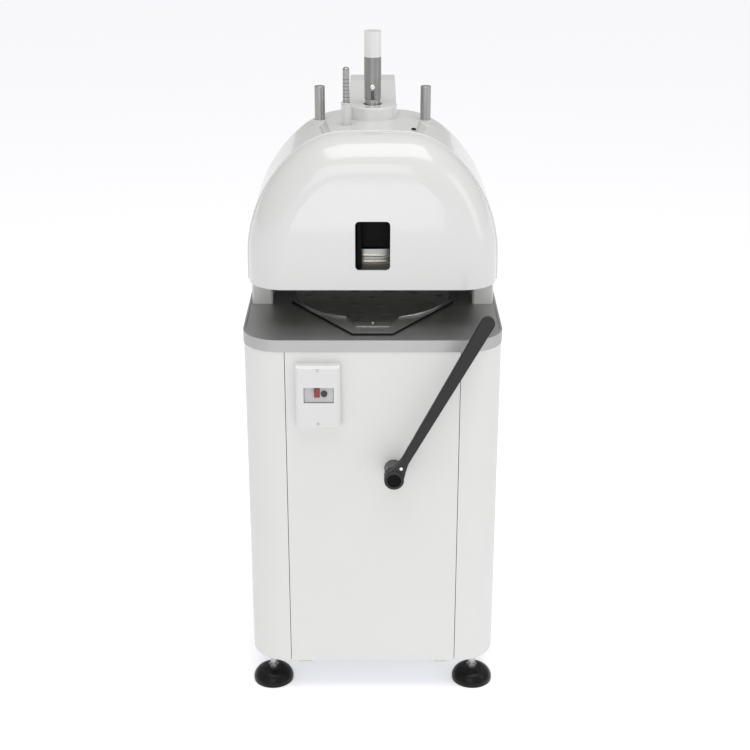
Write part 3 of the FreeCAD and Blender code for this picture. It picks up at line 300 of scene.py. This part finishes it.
class Coat:
    """One material under construction, with its shader, its coordinates and its effects."""

    def __init__(self, name: str) -> None:
        """Make an empty node material.

        Args:
            name: the material's name.
        """
        self.material = bpy.data.materials.new(name)
        self.material.use_nodes = True
        self.material.node_tree.nodes.clear()
        self.w = Wiring(self.material.node_tree)
        self.shader = self.w.add("ShaderNodeBsdfPrincipled")
        out = self.w.add("ShaderNodeOutputMaterial")
        self.w.join(self.shader.outputs[0], out.inputs["Surface"])
        self.place = self.w.add("ShaderNodeTexCoord").outputs["Object"]

    def mapped(self, centre: Point = (0.0, 0.0, 0.0),
               stretch: Point = (1.0, 1.0, 1.0)) -> bpy.types.NodeSocket:
        """Object coordinates about a centre, stretched.

        Args:
            centre: the point that becomes the origin.
            stretch: scale along each axis.

        Returns:
            The vector socket.
        """
        shift = self.w.add("ShaderNodeMapping", {"Location": tuple(-c for c in centre)})
        self.w.join(self.place, shift.inputs["Vector"])
        node = self.w.add("ShaderNodeMapping", {"Scale": stretch})
        self.w.join(shift.outputs[0], node.inputs["Vector"])
        return node.outputs[0]

    def effect(self, effect: Effect, vector: bpy.types.NodeSocket, **values: object) -> bpy.types.Node:
        """Place a shared effect.

        Args:
            effect: which effect.
            vector: its coordinates.
            values: its other inputs, by name with the first letter small.

        Returns:
            The group node.
        """
        node = self.w.add("ShaderNodeGroup")
        node.node_tree = EFFECTS.get(effect)
        self.w.join(vector, node.inputs["Vector"])
        for key, value in values.items():
            node.inputs[key.capitalize()].default_value = value
        return node

    def tone(self, colour: Colour, drift: float, scale: float) -> bpy.types.NodeSocket:
        """Base colour that drifts a little over the surface, as a colour socket."""
        low = tuple(c * (1.0 - drift) for c in colour)
        high = tuple(min(1.0, c * (1.0 + drift)) for c in colour)
        return self.effect(Effect.DRIFT, self.place, scale=scale, low=(*low, 1.0),
                           high=(*high, 1.0)).outputs["Colour"]

    def bump(self, height: bpy.types.NodeSocket, depth: float) -> bpy.types.NodeSocket:
        """Add a Bump node.

        Args:
            height: height socket from 0 to 1.
            depth: full height in metres.

        Returns:
            The normal socket.
        """
        node = self.w.add("ShaderNodeBump", {"Distance": depth, "Strength": 1.0})
        self.w.join(height, node.inputs["Height"])
        return node.outputs[0]

    def feed(self, **sockets: bpy.types.NodeSocket) -> None:
        """Join sockets to the shader's inputs; an underscore in a name stands for a space."""
        for key, socket in sockets.items():
            self.w.join(socket, self.shader.inputs[key.replace("_", " ")])

    def fix(self, values: dict[str, object]) -> None:
        """Set constant values on the shader's own sockets."""
        for key, value in values.items():
            self.shader.inputs[key].default_value = value


# ---- finishes --------------------------------------------------------------------------------------------
@dataclass(frozen=True)
class Enamel:
    """Sprayed enamel or gloss moulding: orange peel, slow tone drift and wipe marks."""

    colour: Colour
    rough: float
    peel: float = 260.0
    peel_depth: float = 0.00012
    coat: float = 0.0
    drift: float = 0.012
    dust: float = 0.05

    def build(self, name: str) -> bpy.types.Material:
        """Make the material.

        Args:
            name: the material's name.

        Returns:
            The material.
        """
        c = Coat(name)
        dust = c.effect(Effect.DUST, c.place, amount=self.dust).outputs["Mask"]
        colour = c.w.blend(dust, c.tone(self.colour, self.drift, 2.3), ENAMEL_DUST)
        grain = c.effect(Effect.GRAIN, c.place, scale=self.peel, softness=0.35)
        rough = c.effect(Effect.SMUDGE, c.place, scale=7.0, low=self.rough * 0.9,
                         high=self.rough * 1.15).outputs["Roughness"]
        c.feed(Base_Color=colour, Roughness=rough, Normal=c.bump(grain.outputs["Height"], self.peel_depth))
        c.fix({"Coat Weight": self.coat, "Coat Roughness": 0.05, "IOR": 1.5})
        return c.material


@dataclass(frozen=True)
class BrushedSteel:
    """Sheet steel with straight brush lines, wipe marks and a little dust."""

    colour: Colour
    rough: float
    stretch: Point
    depth: float = 0.00006
    contrast: float = 0.06
    dust: float = 0.04

    def build(self, name: str) -> bpy.types.Material:
        """Make the material.

        Args:
            name: the material's name.

        Returns:
            The material.
        """
        c = Coat(name)
        lines = c.effect(Effect.BRUSH, c.mapped(stretch=self.stretch), scale=1.0)
        dust = c.effect(Effect.DUST, c.place, amount=self.dust).outputs["Mask"]
        dark = tuple(v * (1.0 - self.contrast) for v in self.colour)
        lined = c.w.blend(lines.outputs["Mask"], dark, c.tone(self.colour, 0.03, 5.0))
        colour = c.w.blend(dust, lined, STEEL_DUST)
        marks = c.effect(Effect.SMUDGE, c.place, scale=11.0, low=self.rough * 0.95, high=self.rough * 1.05)
        metal = c.w.remap(dust, 0.0, 1.0, 1.0, 0.6)
        c.feed(Base_Color=colour, Roughness=marks.outputs["Roughness"], Metallic=metal,
               Normal=c.bump(lines.outputs["Height"], self.depth))
        return c.material


@dataclass(frozen=True)
class TurnedSteel:
    """Turned or ground round steel with fine marks about an upright axis."""

    colour: Colour
    rough: float
    centre: Point
    scale: float = 1400.0
    depth: float = 0.00003

    def build(self, name: str) -> bpy.types.Material:
        """Make the material.

        Args:
            name: the material's name.

        Returns:
            The material.
        """
        c = Coat(name)
        rings = c.effect(Effect.RINGS, c.mapped(centre=self.centre), scale=self.scale)
        marks = c.effect(Effect.SMUDGE, c.place, scale=30.0, low=self.rough * 0.8, high=self.rough * 1.2)
        dark = tuple(v * 0.9 for v in self.colour)
        colour = c.w.blend(rings.outputs["Mask"], dark, c.tone(self.colour, 0.04, 20.0))
        c.feed(Base_Color=colour, Roughness=marks.outputs["Roughness"],
               Normal=c.bump(rings.outputs["Height"], self.depth))
        c.fix({"Metallic": 1.0})
        return c.material


@dataclass(frozen=True)
class PlainMetal:
    """Plated or cast metal with a fine crystal grain and worn tones."""

    colour: Colour
    rough: float
    grain: float = 900.0
    depth: float = 0.00006
    metal: float = 1.0

    def build(self, name: str) -> bpy.types.Material:
        """Make the material.

        Args:
            name: the material's name.

        Returns:
            The material.
        """
        c = Coat(name)
        grain = c.effect(Effect.GRAIN, c.place, scale=self.grain, softness=0.6)
        dark = tuple(v * 0.8 for v in self.colour)
        colour = c.w.blend(grain.outputs["Mask"], dark, c.tone(self.colour, 0.06, 18.0))
        marks = c.effect(Effect.SMUDGE, c.place, scale=25.0, low=self.rough * 0.8, high=self.rough * 1.25)
        c.feed(Base_Color=colour, Roughness=marks.outputs["Roughness"],
               Normal=c.bump(grain.outputs["Height"], self.depth))
        c.fix({"Metallic": self.metal})
        return c.material


@dataclass(frozen=True)
class Moulding:
    """Moulded plastic or rubber with a fine skin, and a little dust where it faces up."""

    colour: Colour
    rough: float
    grain: float = 1400.0
    depth: float = 0.00005
    coat: float = 0.0
    dust: float = 0.05
    shine: float = 0.5

    def build(self, name: str) -> bpy.types.Material:
        """Make the material.

        Args:
            name: the material's name.

        Returns:
            The material.
        """
        c = Coat(name)
        grain = c.effect(Effect.GRAIN, c.place, scale=self.grain, softness=0.5)
        dust = c.effect(Effect.DUST, c.place, amount=self.dust).outputs["Mask"]
        colour = c.w.blend(dust, c.tone(self.colour, 0.08, 14.0), MOULDING_DUST)
        marks = c.effect(Effect.SMUDGE, c.place, scale=20.0, low=self.rough * 0.85, high=self.rough * 1.2)
        c.feed(Base_Color=colour, Roughness=marks.outputs["Roughness"],
               Normal=c.bump(grain.outputs["Height"], self.depth))
        c.fix({"Coat Weight": self.coat, "Coat Roughness": 0.12, "Specular IOR Level": self.shine})
        return c.material


@dataclass(frozen=True)
class ClearPlastic:
    """Slightly frosted clear plastic with a milky tone."""

    colour: Colour
    rough: float
    alpha: float

    def build(self, name: str) -> bpy.types.Material:
        """Make the material.

        Args:
            name: the material's name.

        Returns:
            The material.
        """
        c = Coat(name)
        grain = c.effect(Effect.GRAIN, c.place, scale=500.0, softness=0.5)
        marks = c.effect(Effect.SMUDGE, c.place, scale=40.0, low=self.rough * 0.8, high=self.rough * 1.3)
        alpha = c.w.remap(grain.outputs["Height"], 0.3, 0.7, self.alpha * 0.9, min(1.0, self.alpha * 1.1))
        c.feed(Base_Color=c.tone(self.colour, 0.02, 30.0), Roughness=marks.outputs["Roughness"], Alpha=alpha,
               Normal=c.bump(grain.outputs["Height"], 0.00002))
        return c.material


RAM_CENTRE = (0.0, middle("ram_sleeve")[1], 0.0)
FINISHES = {
    "white_enamel": Enamel((0.72, 0.725, 0.71), 0.38),
    "gloss_white": Enamel((0.68, 0.685, 0.675), 0.20, peel=180.0, peel_depth=0.00005, coat=0.6, drift=0.006),
    "stainless": BrushedSteel((0.50, 0.50, 0.498), 0.50, (14.0, 900.0, 900.0), depth=0.00003, dust=0.0),
    "ground_steel": BrushedSteel((0.40, 0.40, 0.395), 0.34, (25.0, 25.0, 1200.0), depth=0.00003, dust=0.0),
    "zinc_steel": PlainMetal((0.60, 0.60, 0.58), 0.32),
    "frame_paint": Enamel((0.30, 0.32, 0.34), 0.45, peel=500.0, drift=0.04),
    "liner_grey": Moulding((0.60, 0.60, 0.60), 0.36, grain=500.0, coat=0.3, dust=0.0),
    "black_rubber": Moulding((0.006, 0.006, 0.006), 0.30, coat=0.06, shine=0.2),
    "lever_black": Moulding((0.024, 0.024, 0.024), 0.52, shine=0.3),
    "cap_black": Moulding((0.004, 0.004, 0.004), 0.4, shine=0.08, dust=0.0),
    "button_red": Moulding((0.24, 0.018, 0.018), 0.34, coat=0.4),
    "breaker_grey": Moulding((0.51, 0.515, 0.52), 0.45),
    "clear_tube": ClearPlastic((0.86, 0.87, 0.86), 0.22, 0.50),
    "bronze": TurnedSteel((0.56, 0.52, 0.45), 0.3, RAM_CENTRE),
    "cast_grey": PlainMetal((0.32, 0.32, 0.31), 0.6, grain=350.0, depth=0.0003, metal=0.3),
    "plate_alloy": BrushedSteel((0.66, 0.66, 0.655), 0.22, (500.0, 500.0, 500.0), depth=0.00002, contrast=0.1,
                                dust=0.0),
    "pad_white": Moulding((0.60, 0.59, 0.56), 0.45),
    "belt_black": Moulding((0.02, 0.02, 0.02), 0.6),
}
BORROWED_SLOT = {"seal_and_shadow_black": "cap_black", "steel_bright": "zinc_steel", "matte_sleeve": "ground_steel",
                 "mark_and_shade_grey": "cap_black"}
FINISHES |= {
    # Black rubber for the real seals, also used for the carrier strips that paint shadow.
    "seal_and_shadow_black": Moulding((0.006, 0.006, 0.006), 0.5, dust=0.0, shine=0.15),
    "steel_bright": PlainMetal((0.85, 0.85, 0.84), 0.16),
    "matte_sleeve": TurnedSteel((0.32, 0.32, 0.315), 0.42, RAM_CENTRE, scale=900.0),
    "key_grey": Moulding((0.035, 0.035, 0.035), 0.45, dust=0.0),
    # Dark grey for the scale's graduation marks, also used for the keyway strip that paints shade.
    "mark_and_shade_grey": Moulding((0.07, 0.07, 0.07), 0.5, dust=0.0),
    "hub_steel": PlainMetal((0.20, 0.20, 0.20), 0.42),
    "bush_white": Moulding((0.66, 0.66, 0.645), 0.4),
}
OWN_FINISH = {"ram_sleeve": "matte_sleeve", "lever_hub_sleeve": "hub_steel", "guide_bushes": "bush_white",
              "start_button": "key_grey"}


class Palette:
    """Gives each slot's material, built on first use."""

    def __init__(self) -> None:
        """Start with no material built."""
        self.made: dict[str, bpy.types.Material] = {}

    def get(self, finish: str) -> bpy.types.Material:
        """Return the material of a finish.

        Args:
            finish: a name in FINISHES.

        Returns:
            Its material.
        """
        if finish not in self.made:
            self.made[finish] = FINISHES[finish].build(finish)
        return self.made[finish]


PALETTE = Palette()


def dress_nodes(own: dict[str, str]) -> int:
    """Give every CAD node the material of its slot.

    Args:
        own: finish of each node that doesn't take its slot's own.

    Returns:
        How many nodes were dressed.
    """
    slots = {row["node"]: row["material_slot"] for row in frame["record"]["subparts"]}
    for name, node in frame["nodes"].items():
        material = PALETTE.get(own.get(name, slots[name]))
        if not node.material_slots:
            node.data.materials.append(material)
        for place in node.material_slots:
            place.material = material
    return len(frame["nodes"])


# ---- mesh helpers ----------------------------------------------------------------------------------------
def lathe(profile: Sequence[tuple[float, float]], centre: Point, steps: int = 64) -> bmesh.types.BMesh:
    """Turn a profile round an upright axis.

    Args:
        profile: radius and height of each point, in order.
        centre: where the axis and height 0 lie.
        steps: steps round the axis.

    Returns:
        The mesh.
    """
    bm = bmesh.new()
    points = [bm.verts.new((radius, 0.0, height)) for radius, height in profile]
    edges = [bm.edges.new(pair) for pair in zip(points, points[1:])]
    bmesh.ops.spin(bm, geom=points + edges, cent=(0, 0, 0), axis=(0, 0, 1), dvec=(0, 0, 0),
                   angle=math.tau, steps=steps, use_merge=True, use_duplicate=False)
    bmesh.ops.remove_doubles(bm, verts=bm.verts, dist=WELD)
    bmesh.ops.transform(bm, matrix=Matrix.Translation(centre), verts=bm.verts)
    bmesh.ops.recalc_face_normals(bm, faces=bm.faces)
    return bm


def slab(low: Point, high: Point, radius: float) -> bmesh.types.BMesh:
    """Block between two corners with all its edges rounded.

    Args:
        low: lowest corner.
        high: highest corner.
        radius: edge radius.

    Returns:
        The mesh.
    """
    bm = bmesh.new()
    middle = (Vector(low) + Vector(high)) / 2
    size = Vector(high) - Vector(low)
    bmesh.ops.create_cube(bm, size=1.0, matrix=Matrix.Translation(middle) @ Matrix.Diagonal((*size, 1.0)))
    bmesh.ops.bevel(bm, geom=list(bm.edges), offset=radius, offset_type="OFFSET", segments=3,
                    profile=0.5, affect="EDGES", clamp_overlap=True, material=-1)
    return bm


def joined(meshes: Iterable[bmesh.types.BMesh]) -> bmesh.types.BMesh:
    """Put several meshes in one."""
    whole = bmesh.new()
    for bm in meshes:
        scratch = bpy.data.meshes.new("scratch")
        bm.to_mesh(scratch)
        bm.free()
        whole.from_mesh(scratch)
        bpy.data.meshes.remove(scratch)
    return whole


def piece(bm: bmesh.types.BMesh, name: str, body: str, finish: str, sharp: float = 32.0) -> None:
    """Args:
        bm: the mesh, in the row frame; it is freed.
        name: the piece's name.
        body: the CAD body that it rides on.
        finish: a name in FINISHES.
        sharp: angle in degrees past which an edge stays sharp.
    """
    mesh = bpy.data.meshes.new(name)
    bm.to_mesh(mesh)
    bm.free()
    mesh.shade_smooth()
    mesh.set_sharp_from_angle(angle=math.radians(sharp))
    mesh.materials.append(PALETTE.get(finish))
    obj = bpy.data.objects.new(name, mesh)
    bpy.context.scene.collection.objects.link(obj)
    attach(obj, body)
    BORROWED_SLOT.get(finish, finish)
    LOG.info("%s rides on %s, %d faces", name, body, len(mesh.polygons))


def socket_screw(head: float, height: float, key: float, place: Point, axis: Point) -> bmesh.types.BMesh:
    """Cap screw head with a round socket.

    Args:
        head: head radius.
        height: head height.
        key: socket radius.
        place: middle of the head's foot.
        axis: the way the head points.

    Returns:
        The mesh.
    """
    soft = head * 0.16
    bm = lathe([(0.0, 0.0), (head, 0.0), (head, height - soft), (head - soft * 0.3, height - soft * 0.3),
                (head - soft, height), (key, height)], (0, 0, 0), steps=36)
    rim = [e for e in bm.edges if e.is_boundary]
    sunk = bmesh.ops.extrude_edge_only(bm, edges=rim)["geom"]
    verts = [g for g in sunk if isinstance(g, bmesh.types.BMVert)]
    bmesh.ops.translate(bm, vec=(0, 0, -height * 0.6), verts=verts)
    bmesh.ops.contextual_create(bm, geom=[e for e in bm.edges if e.is_boundary])
    turn = Vector((0.0, 0.0, 1.0)).rotation_difference(Vector(axis)).to_matrix().to_4x4()
    bmesh.ops.transform(bm, matrix=Matrix.Translation(place) @ turn, verts=bm.verts)
    bmesh.ops.recalc_face_normals(bm, faces=bm.faces)
    return bm


# ---- sub-assemblies --------------------------------------------------------------------------------------
@dataclass
class RamDetails:
    """Lower sleeve, a dark strip painted as the shade in the keyway, set screw and wiper of the ram."""

    axis_y: float = middle("ram_sleeve")[1]
    post: float = tidy(half_width("ram_sleeve") - 0.0004)
    inner: float = 0.0191
    top: float = lowest("ram_sleeve")[2]
    bush_top: float = highest("ram_bush")[2]
    key_half: float = 0.0042

    def build(self) -> None:
        """Build and dress the ram's pieces."""
        front = self.axis_y - self.post
        low, high = tidy(self.top - 0.0455), tidy(self.top + 0.0002)
        skirt = lathe([(self.inner, low), (self.post - 0.0008, low), (self.post, low + 0.0008),
                       (self.post, high), (self.inner, high), (self.inner, low)], (0, self.axis_y, 0))
        piece(skirt, "ram_lower_sleeve", "press_ram", "matte_sleeve")
        # Painted shade: a dark strip stands in for the shadowed groove of the keyway.
        key = slab((-self.key_half, front - 0.0004, low + 0.001),
                   (self.key_half, front + 0.004, tidy(self.top - 0.0225)), 0.0008)
        piece(key, "ram_keyway_shade_strip", "press_ram", "mark_and_shade_grey")
        seat = (0.0, front - 0.0001, tidy(self.top - 0.013))
        screw = socket_screw(0.0060, 0.0008, 0.0032, seat, (0, -1, 0))
        piece(screw, "ram_set_screw", "press_ram", "steel_bright")
        foot, edge, crown = (tidy(self.bush_top + rise) for rise in (0.0002, 0.0014, 0.0022))
        wiper = lathe([(0.0213, foot), (0.0262, foot), (0.0262, edge), (0.0254, crown), (0.0222, crown),
                       (0.0213, edge), (0.0213, foot)], (0, self.axis_y, 0))
        piece(wiper, "ram_wiper", "machine", "seal_and_shadow_black")


@dataclass
class ScaleGauge:
    """Graduation rings on the weight scale's rod and the collar of its tube."""

    x: float = middle("scale_rod")[0]
    y: float = middle("scale_rod")[1]
    radius: float = half_width("scale_rod")
    first: float = tidy(highest("scale_tube")[2] + 0.0045)
    count: int = 7
    pitch: float = 0.0085
    half: float = 0.0006

    def build(self) -> None:
        """Build and dress the gauge's pieces."""
        marks = []
        for step in range(self.count):
            z = self.first + step * self.pitch
            inner, outer = self.radius - 0.001, self.radius + 0.0002
            low, high = z - self.half, z + self.half
            marks.append(lathe([(inner, low), (outer, low), (outer, high), (inner, high), (inner, low)],
                               (self.x, self.y, 0), steps=40))
        piece(joined(marks), "scale_graduations", "press_ram", "mark_and_shade_grey")
        collar = lathe([(0.0130, 1.4405), (0.0162, 1.4405), (0.0166, 1.4412), (0.0166, 1.4436),
                        (0.0158, 1.4450), (0.0138, 1.4456), (0.0130, 1.4450), (0.0130, 1.4405)],
                       (self.x, self.y, 0), steps=48)
        piece(collar, "scale_tube_collar", "machine", "seal_and_shadow_black")


@dataclass
class HeadTrim:
    """Plug on the head, screw at its corner, the dark strut behind the window, and a black sheet behind the
    window that paints the shade inside the head.
    """

    plug: Point = (0.098, -0.093, 1.4492)
    corner: Point = (-0.3078, 0.012, 1.0975)
    lift_x: float = -0.034
    lift_y: float = -0.190

    def build(self) -> None:
        """Build and dress the head's small pieces."""
        plug = lathe([(0.0, 0.004), (0.0035, 0.0038), (0.0055, 0.0028), (0.0062, 0.0012), (0.0062, -0.006),
                      (0.0, -0.006)], self.plug, steps=40)
        piece(plug, "head_plug", "machine", "cap_black")
        fastener = socket_screw(0.0055, 0.004, 0.0028, self.corner, (-1, 0, 0))
        piece(fastener, "head_corner_screw", "machine", "steel_bright")
        strut = lathe([(0.0, 1.130), (0.0062, 1.130), (0.0078, 1.1316), (0.0078, 1.2464), (0.0062, 1.248),
                       (0.0, 1.248)], (self.lift_x, self.lift_y, 0), steps=48)
        piece(strut, "window_strut", "machine", "cap_black")
        # Painted shade: a black sheet behind the window stands in for the dark inside of the head.
        shade_sheet = slab((-0.12, -0.1665, 1.178), (0.12, -0.1635, 1.300), 0.0008)
        piece(shade_sheet, "window_shade_sheet", "machine", "cap_black")


@dataclass
class PressRingBands:
    """Two bronze wear bands round the press ring."""

    axis_y: float = middle("press_ring")[1]
    radius: float = half_width("press_ring")
    top: float = highest("press_ring")[2]
    tall: float = 0.0094
    soft: float = 0.0012

    def build(self) -> None:
        """Build and dress the bands."""
        bands = []
        for below in (0.0204, 0.0370):
            low, high = tidy(self.top - below), tidy(self.top - below + self.tall)
            outer = self.radius + 0.0006
            inner = self.radius - 0.0022
            bands.append(lathe([(inner, low), (outer - self.soft, low), (outer, low + self.soft),
                                (outer, high - self.soft), (outer - self.soft, high), (inner, high),
                                (inner, low)], (0, self.axis_y, 0), steps=160))
        piece(joined(bands), "press_ring_bands", "knife_block", "bronze", sharp=50.0)


@dataclass
class CarrierShadowStrips:
    """Black strips along the V of the plate carrier and its front edge, painting the shadow gap and dark
    reflection under its edges, and a thin painted shadow line behind them.
    """

    tip_half: float = 0.049
    tip_y: float = lowest("table_carrier")[1]
    side: tuple[float, float] = (0.206, -0.0173)
    low: float = tidy(highest("table_carrier")[2] - 0.0044)
    high: float = tidy(highest("table_carrier")[2] + 0.0002)
    width: float = 0.0032

    def strip(self, start: tuple[float, float], end: tuple[float, float], low: float, high: float,
              width: float) -> bmesh.types.BMesh:
        """Rounded bar between two plan points.

        Args:
            start: plan position of one end.
            end: plan position of the other.
            low: its underside.
            high: its top.
            width: its width.

        Returns:
            The mesh.
        """
        a, b = Vector((*start, 0.0)), Vector((*end, 0.0))
        length = (b - a).length
        bm = slab((-length / 2, -width / 2, low), (length / 2, width / 2, high), width * 0.3)
        angle = math.atan2(b.y - a.y, b.x - a.x)
        place = Matrix.Translation((a + b) / 2) @ Matrix.Rotation(angle, 4, "Z")
        bmesh.ops.transform(bm, matrix=place, verts=bm.verts)
        return bm

    def build(self) -> None:
        """Build and dress the strips."""
        # Painted shadow: black strips stand in for the shadow gap and dark reflection under the carrier's
        # edges.
        bars = [self.strip((-self.tip_half, self.tip_y), (self.tip_half, self.tip_y), self.low, self.high,
                           self.width)]
        for side in (-1, 1):
            bars.append(self.strip((side * self.tip_half, self.tip_y), (side * self.side[0], self.side[1]),
                                   self.low, self.high, self.width))
        piece(joined(bars), "carrier_edge_shadow_strip", "rounding_table", "seal_and_shadow_black")
        # Painted shadow line at the step behind the carrier's front edge.
        line = self.strip((-0.030, -0.2325), (0.030, -0.2325), tidy(self.high - 0.001), self.high, 0.0022)
        piece(line, "carrier_step_shadow_strip", "rounding_table", "seal_and_shadow_black")


@dataclass
class LeverTrim:
    """Grub screw in the front of the lever's root, just above its hub."""

    x: float = middle("lever_cap")[0]
    z: float = middle("lever_cap")[2]
    lean: float = 28.3
    along: float = 0.036
    y: float = tidy(lowest("lever_arm")[1] + 0.003)

    def build(self) -> None:
        """Build and dress the grub screw."""
        lean = math.radians(self.lean)
        seat = (self.x + self.along * math.sin(lean), self.y, self.z + self.along * math.cos(lean))
        screw = socket_screw(0.0042, 0.0018, 0.0022, seat, (0, -1, 0))
        piece(screw, "lever_grub_screw", "rounding_lever", "steel_bright")


@dataclass
class RearTrim:
    """Rubber bush in the cable gland."""

    gland: tuple[float, float] = middle("cable_gland")[:2]

    def build(self) -> None:
        """Build and dress the bush."""
        x, y = self.gland
        bush = lathe([(0.0052, 0.0742), (0.0100, 0.0742), (0.0112, 0.0730), (0.0112, 0.0712),
                      (0.0096, 0.0700), (0.0064, 0.0700), (0.0052, 0.0712), (0.0052, 0.0742)],
                     (x, y, 0), steps=40)
        piece(bush, "gland_bush", "machine", "cap_black")


@dataclass
class Studio:
    """Camera, lights, floor and surroundings."""

    eye: Point = (0.0, -3.564, 2.203)
    tilt: float = 68.2
    lens: float = 70.03
    shift: float = 0.0031
    floor_half: float = 40.0

    def camera(self) -> None:
        """Place the camera."""
        data = bpy.data.cameras.new("camera")
        data.lens = self.lens
        data.shift_x = self.shift
        data.clip_end = 200.0
        obj = bpy.data.objects.new("camera", data)
        obj.location = self.eye
        obj.rotation_euler = (math.radians(self.tilt), 0.0, 0.0)
        bpy.context.scene.collection.objects.link(obj)
        bpy.context.scene.camera = obj

    def softbox(self, name: str, place: Point, aim: Point, width: float, height: float, power: float) -> None:
        """Add one rectangular light.

        Args:
            name: the light's name.
            place: its middle.
            aim: the point that it faces.
            width: its width.
            height: its height.
            power: its power in watts.
        """
        data = bpy.data.lights.new(name, "AREA")
        data.shape = "RECTANGLE"
        data.size = width
        data.size_y = height
        data.energy = power
        obj = bpy.data.objects.new(name, data)
        obj.location = place
        obj.rotation_euler = (Vector(aim) - Vector(place)).to_track_quat("-Z", "Y").to_euler()
        obj.visible_camera = False
        bpy.context.scene.collection.objects.link(obj)

    def lights(self) -> None:
        """Add the softboxes and the even white surround."""
        self.softbox("key_left", (-0.6, -4.0, 2.25), (0, 0, 1.0), 2.6, 2.0, 20.0)
        self.softbox("overhead", (0.3, -0.9, 4.2), (0, 0.1, 1.4), 3.4, 2.4, 60.0)
        self.softbox("right_strip", (2.6, -1.0, 1.9), (0, 0, 1.0), 0.9, 1.8, 6.0)
        self.softbox("low_card", (-0.05, -2.81, 0.585), (-0.02, 0, 1.6), 0.70, 0.20, 0.9)
        world = bpy.data.worlds.new("surround")
        world.use_nodes = True
        back = world.node_tree.nodes["Background"]
        back.inputs["Color"].default_value = (1.0, 0.998, 0.985, 1.0)
        back.inputs["Strength"].default_value = 0.52
        bpy.context.scene.world = world
        bpy.context.scene.view_settings.view_transform = "Standard"

    def floor(self) -> None:
        """Lay the plain pale floor."""
        bm = bmesh.new()
        bmesh.ops.create_grid(bm, x_segments=8, y_segments=8, size=self.floor_half)
        mesh = bpy.data.meshes.new("floor")
        bm.to_mesh(mesh)
        bm.free()
        coat = Coat("pale_floor")
        coat.feed(Base_Color=coat.tone((0.94, 0.94, 0.95), 0.004, 0.4))
        coat.fix({"Roughness": 0.9, "Specular IOR Level": 0.0, "Emission Color": (0.97, 0.96, 1.0, 1.0),
                  "Emission Strength": 0.46})
        mesh.materials.append(coat.material)
        obj = bpy.data.objects.new("floor", mesh)
        bpy.context.scene.collection.objects.link(obj)

    def build(self) -> None:
        """Set up the whole studio."""
        self.camera()
        self.lights()
        self.floor()


def main() -> None:
    """Build every sub-assembly in order."""
    logging.basicConfig(level=logging.INFO, format="%(name)s: %(message)s")
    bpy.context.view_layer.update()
    Studio().build()
    LOG.info("%d CAD nodes dressed", dress_nodes(OWN_FINISH))
    makers: list[Callable[[], None]] = [RamDetails().build, ScaleGauge().build, HeadTrim().build,
                                        PressRingBands().build, CarrierShadowStrips().build, LeverTrim().build,
                                        RearTrim().build]
    for make in makers:
        make()


if __name__ == "__main__":
    main()
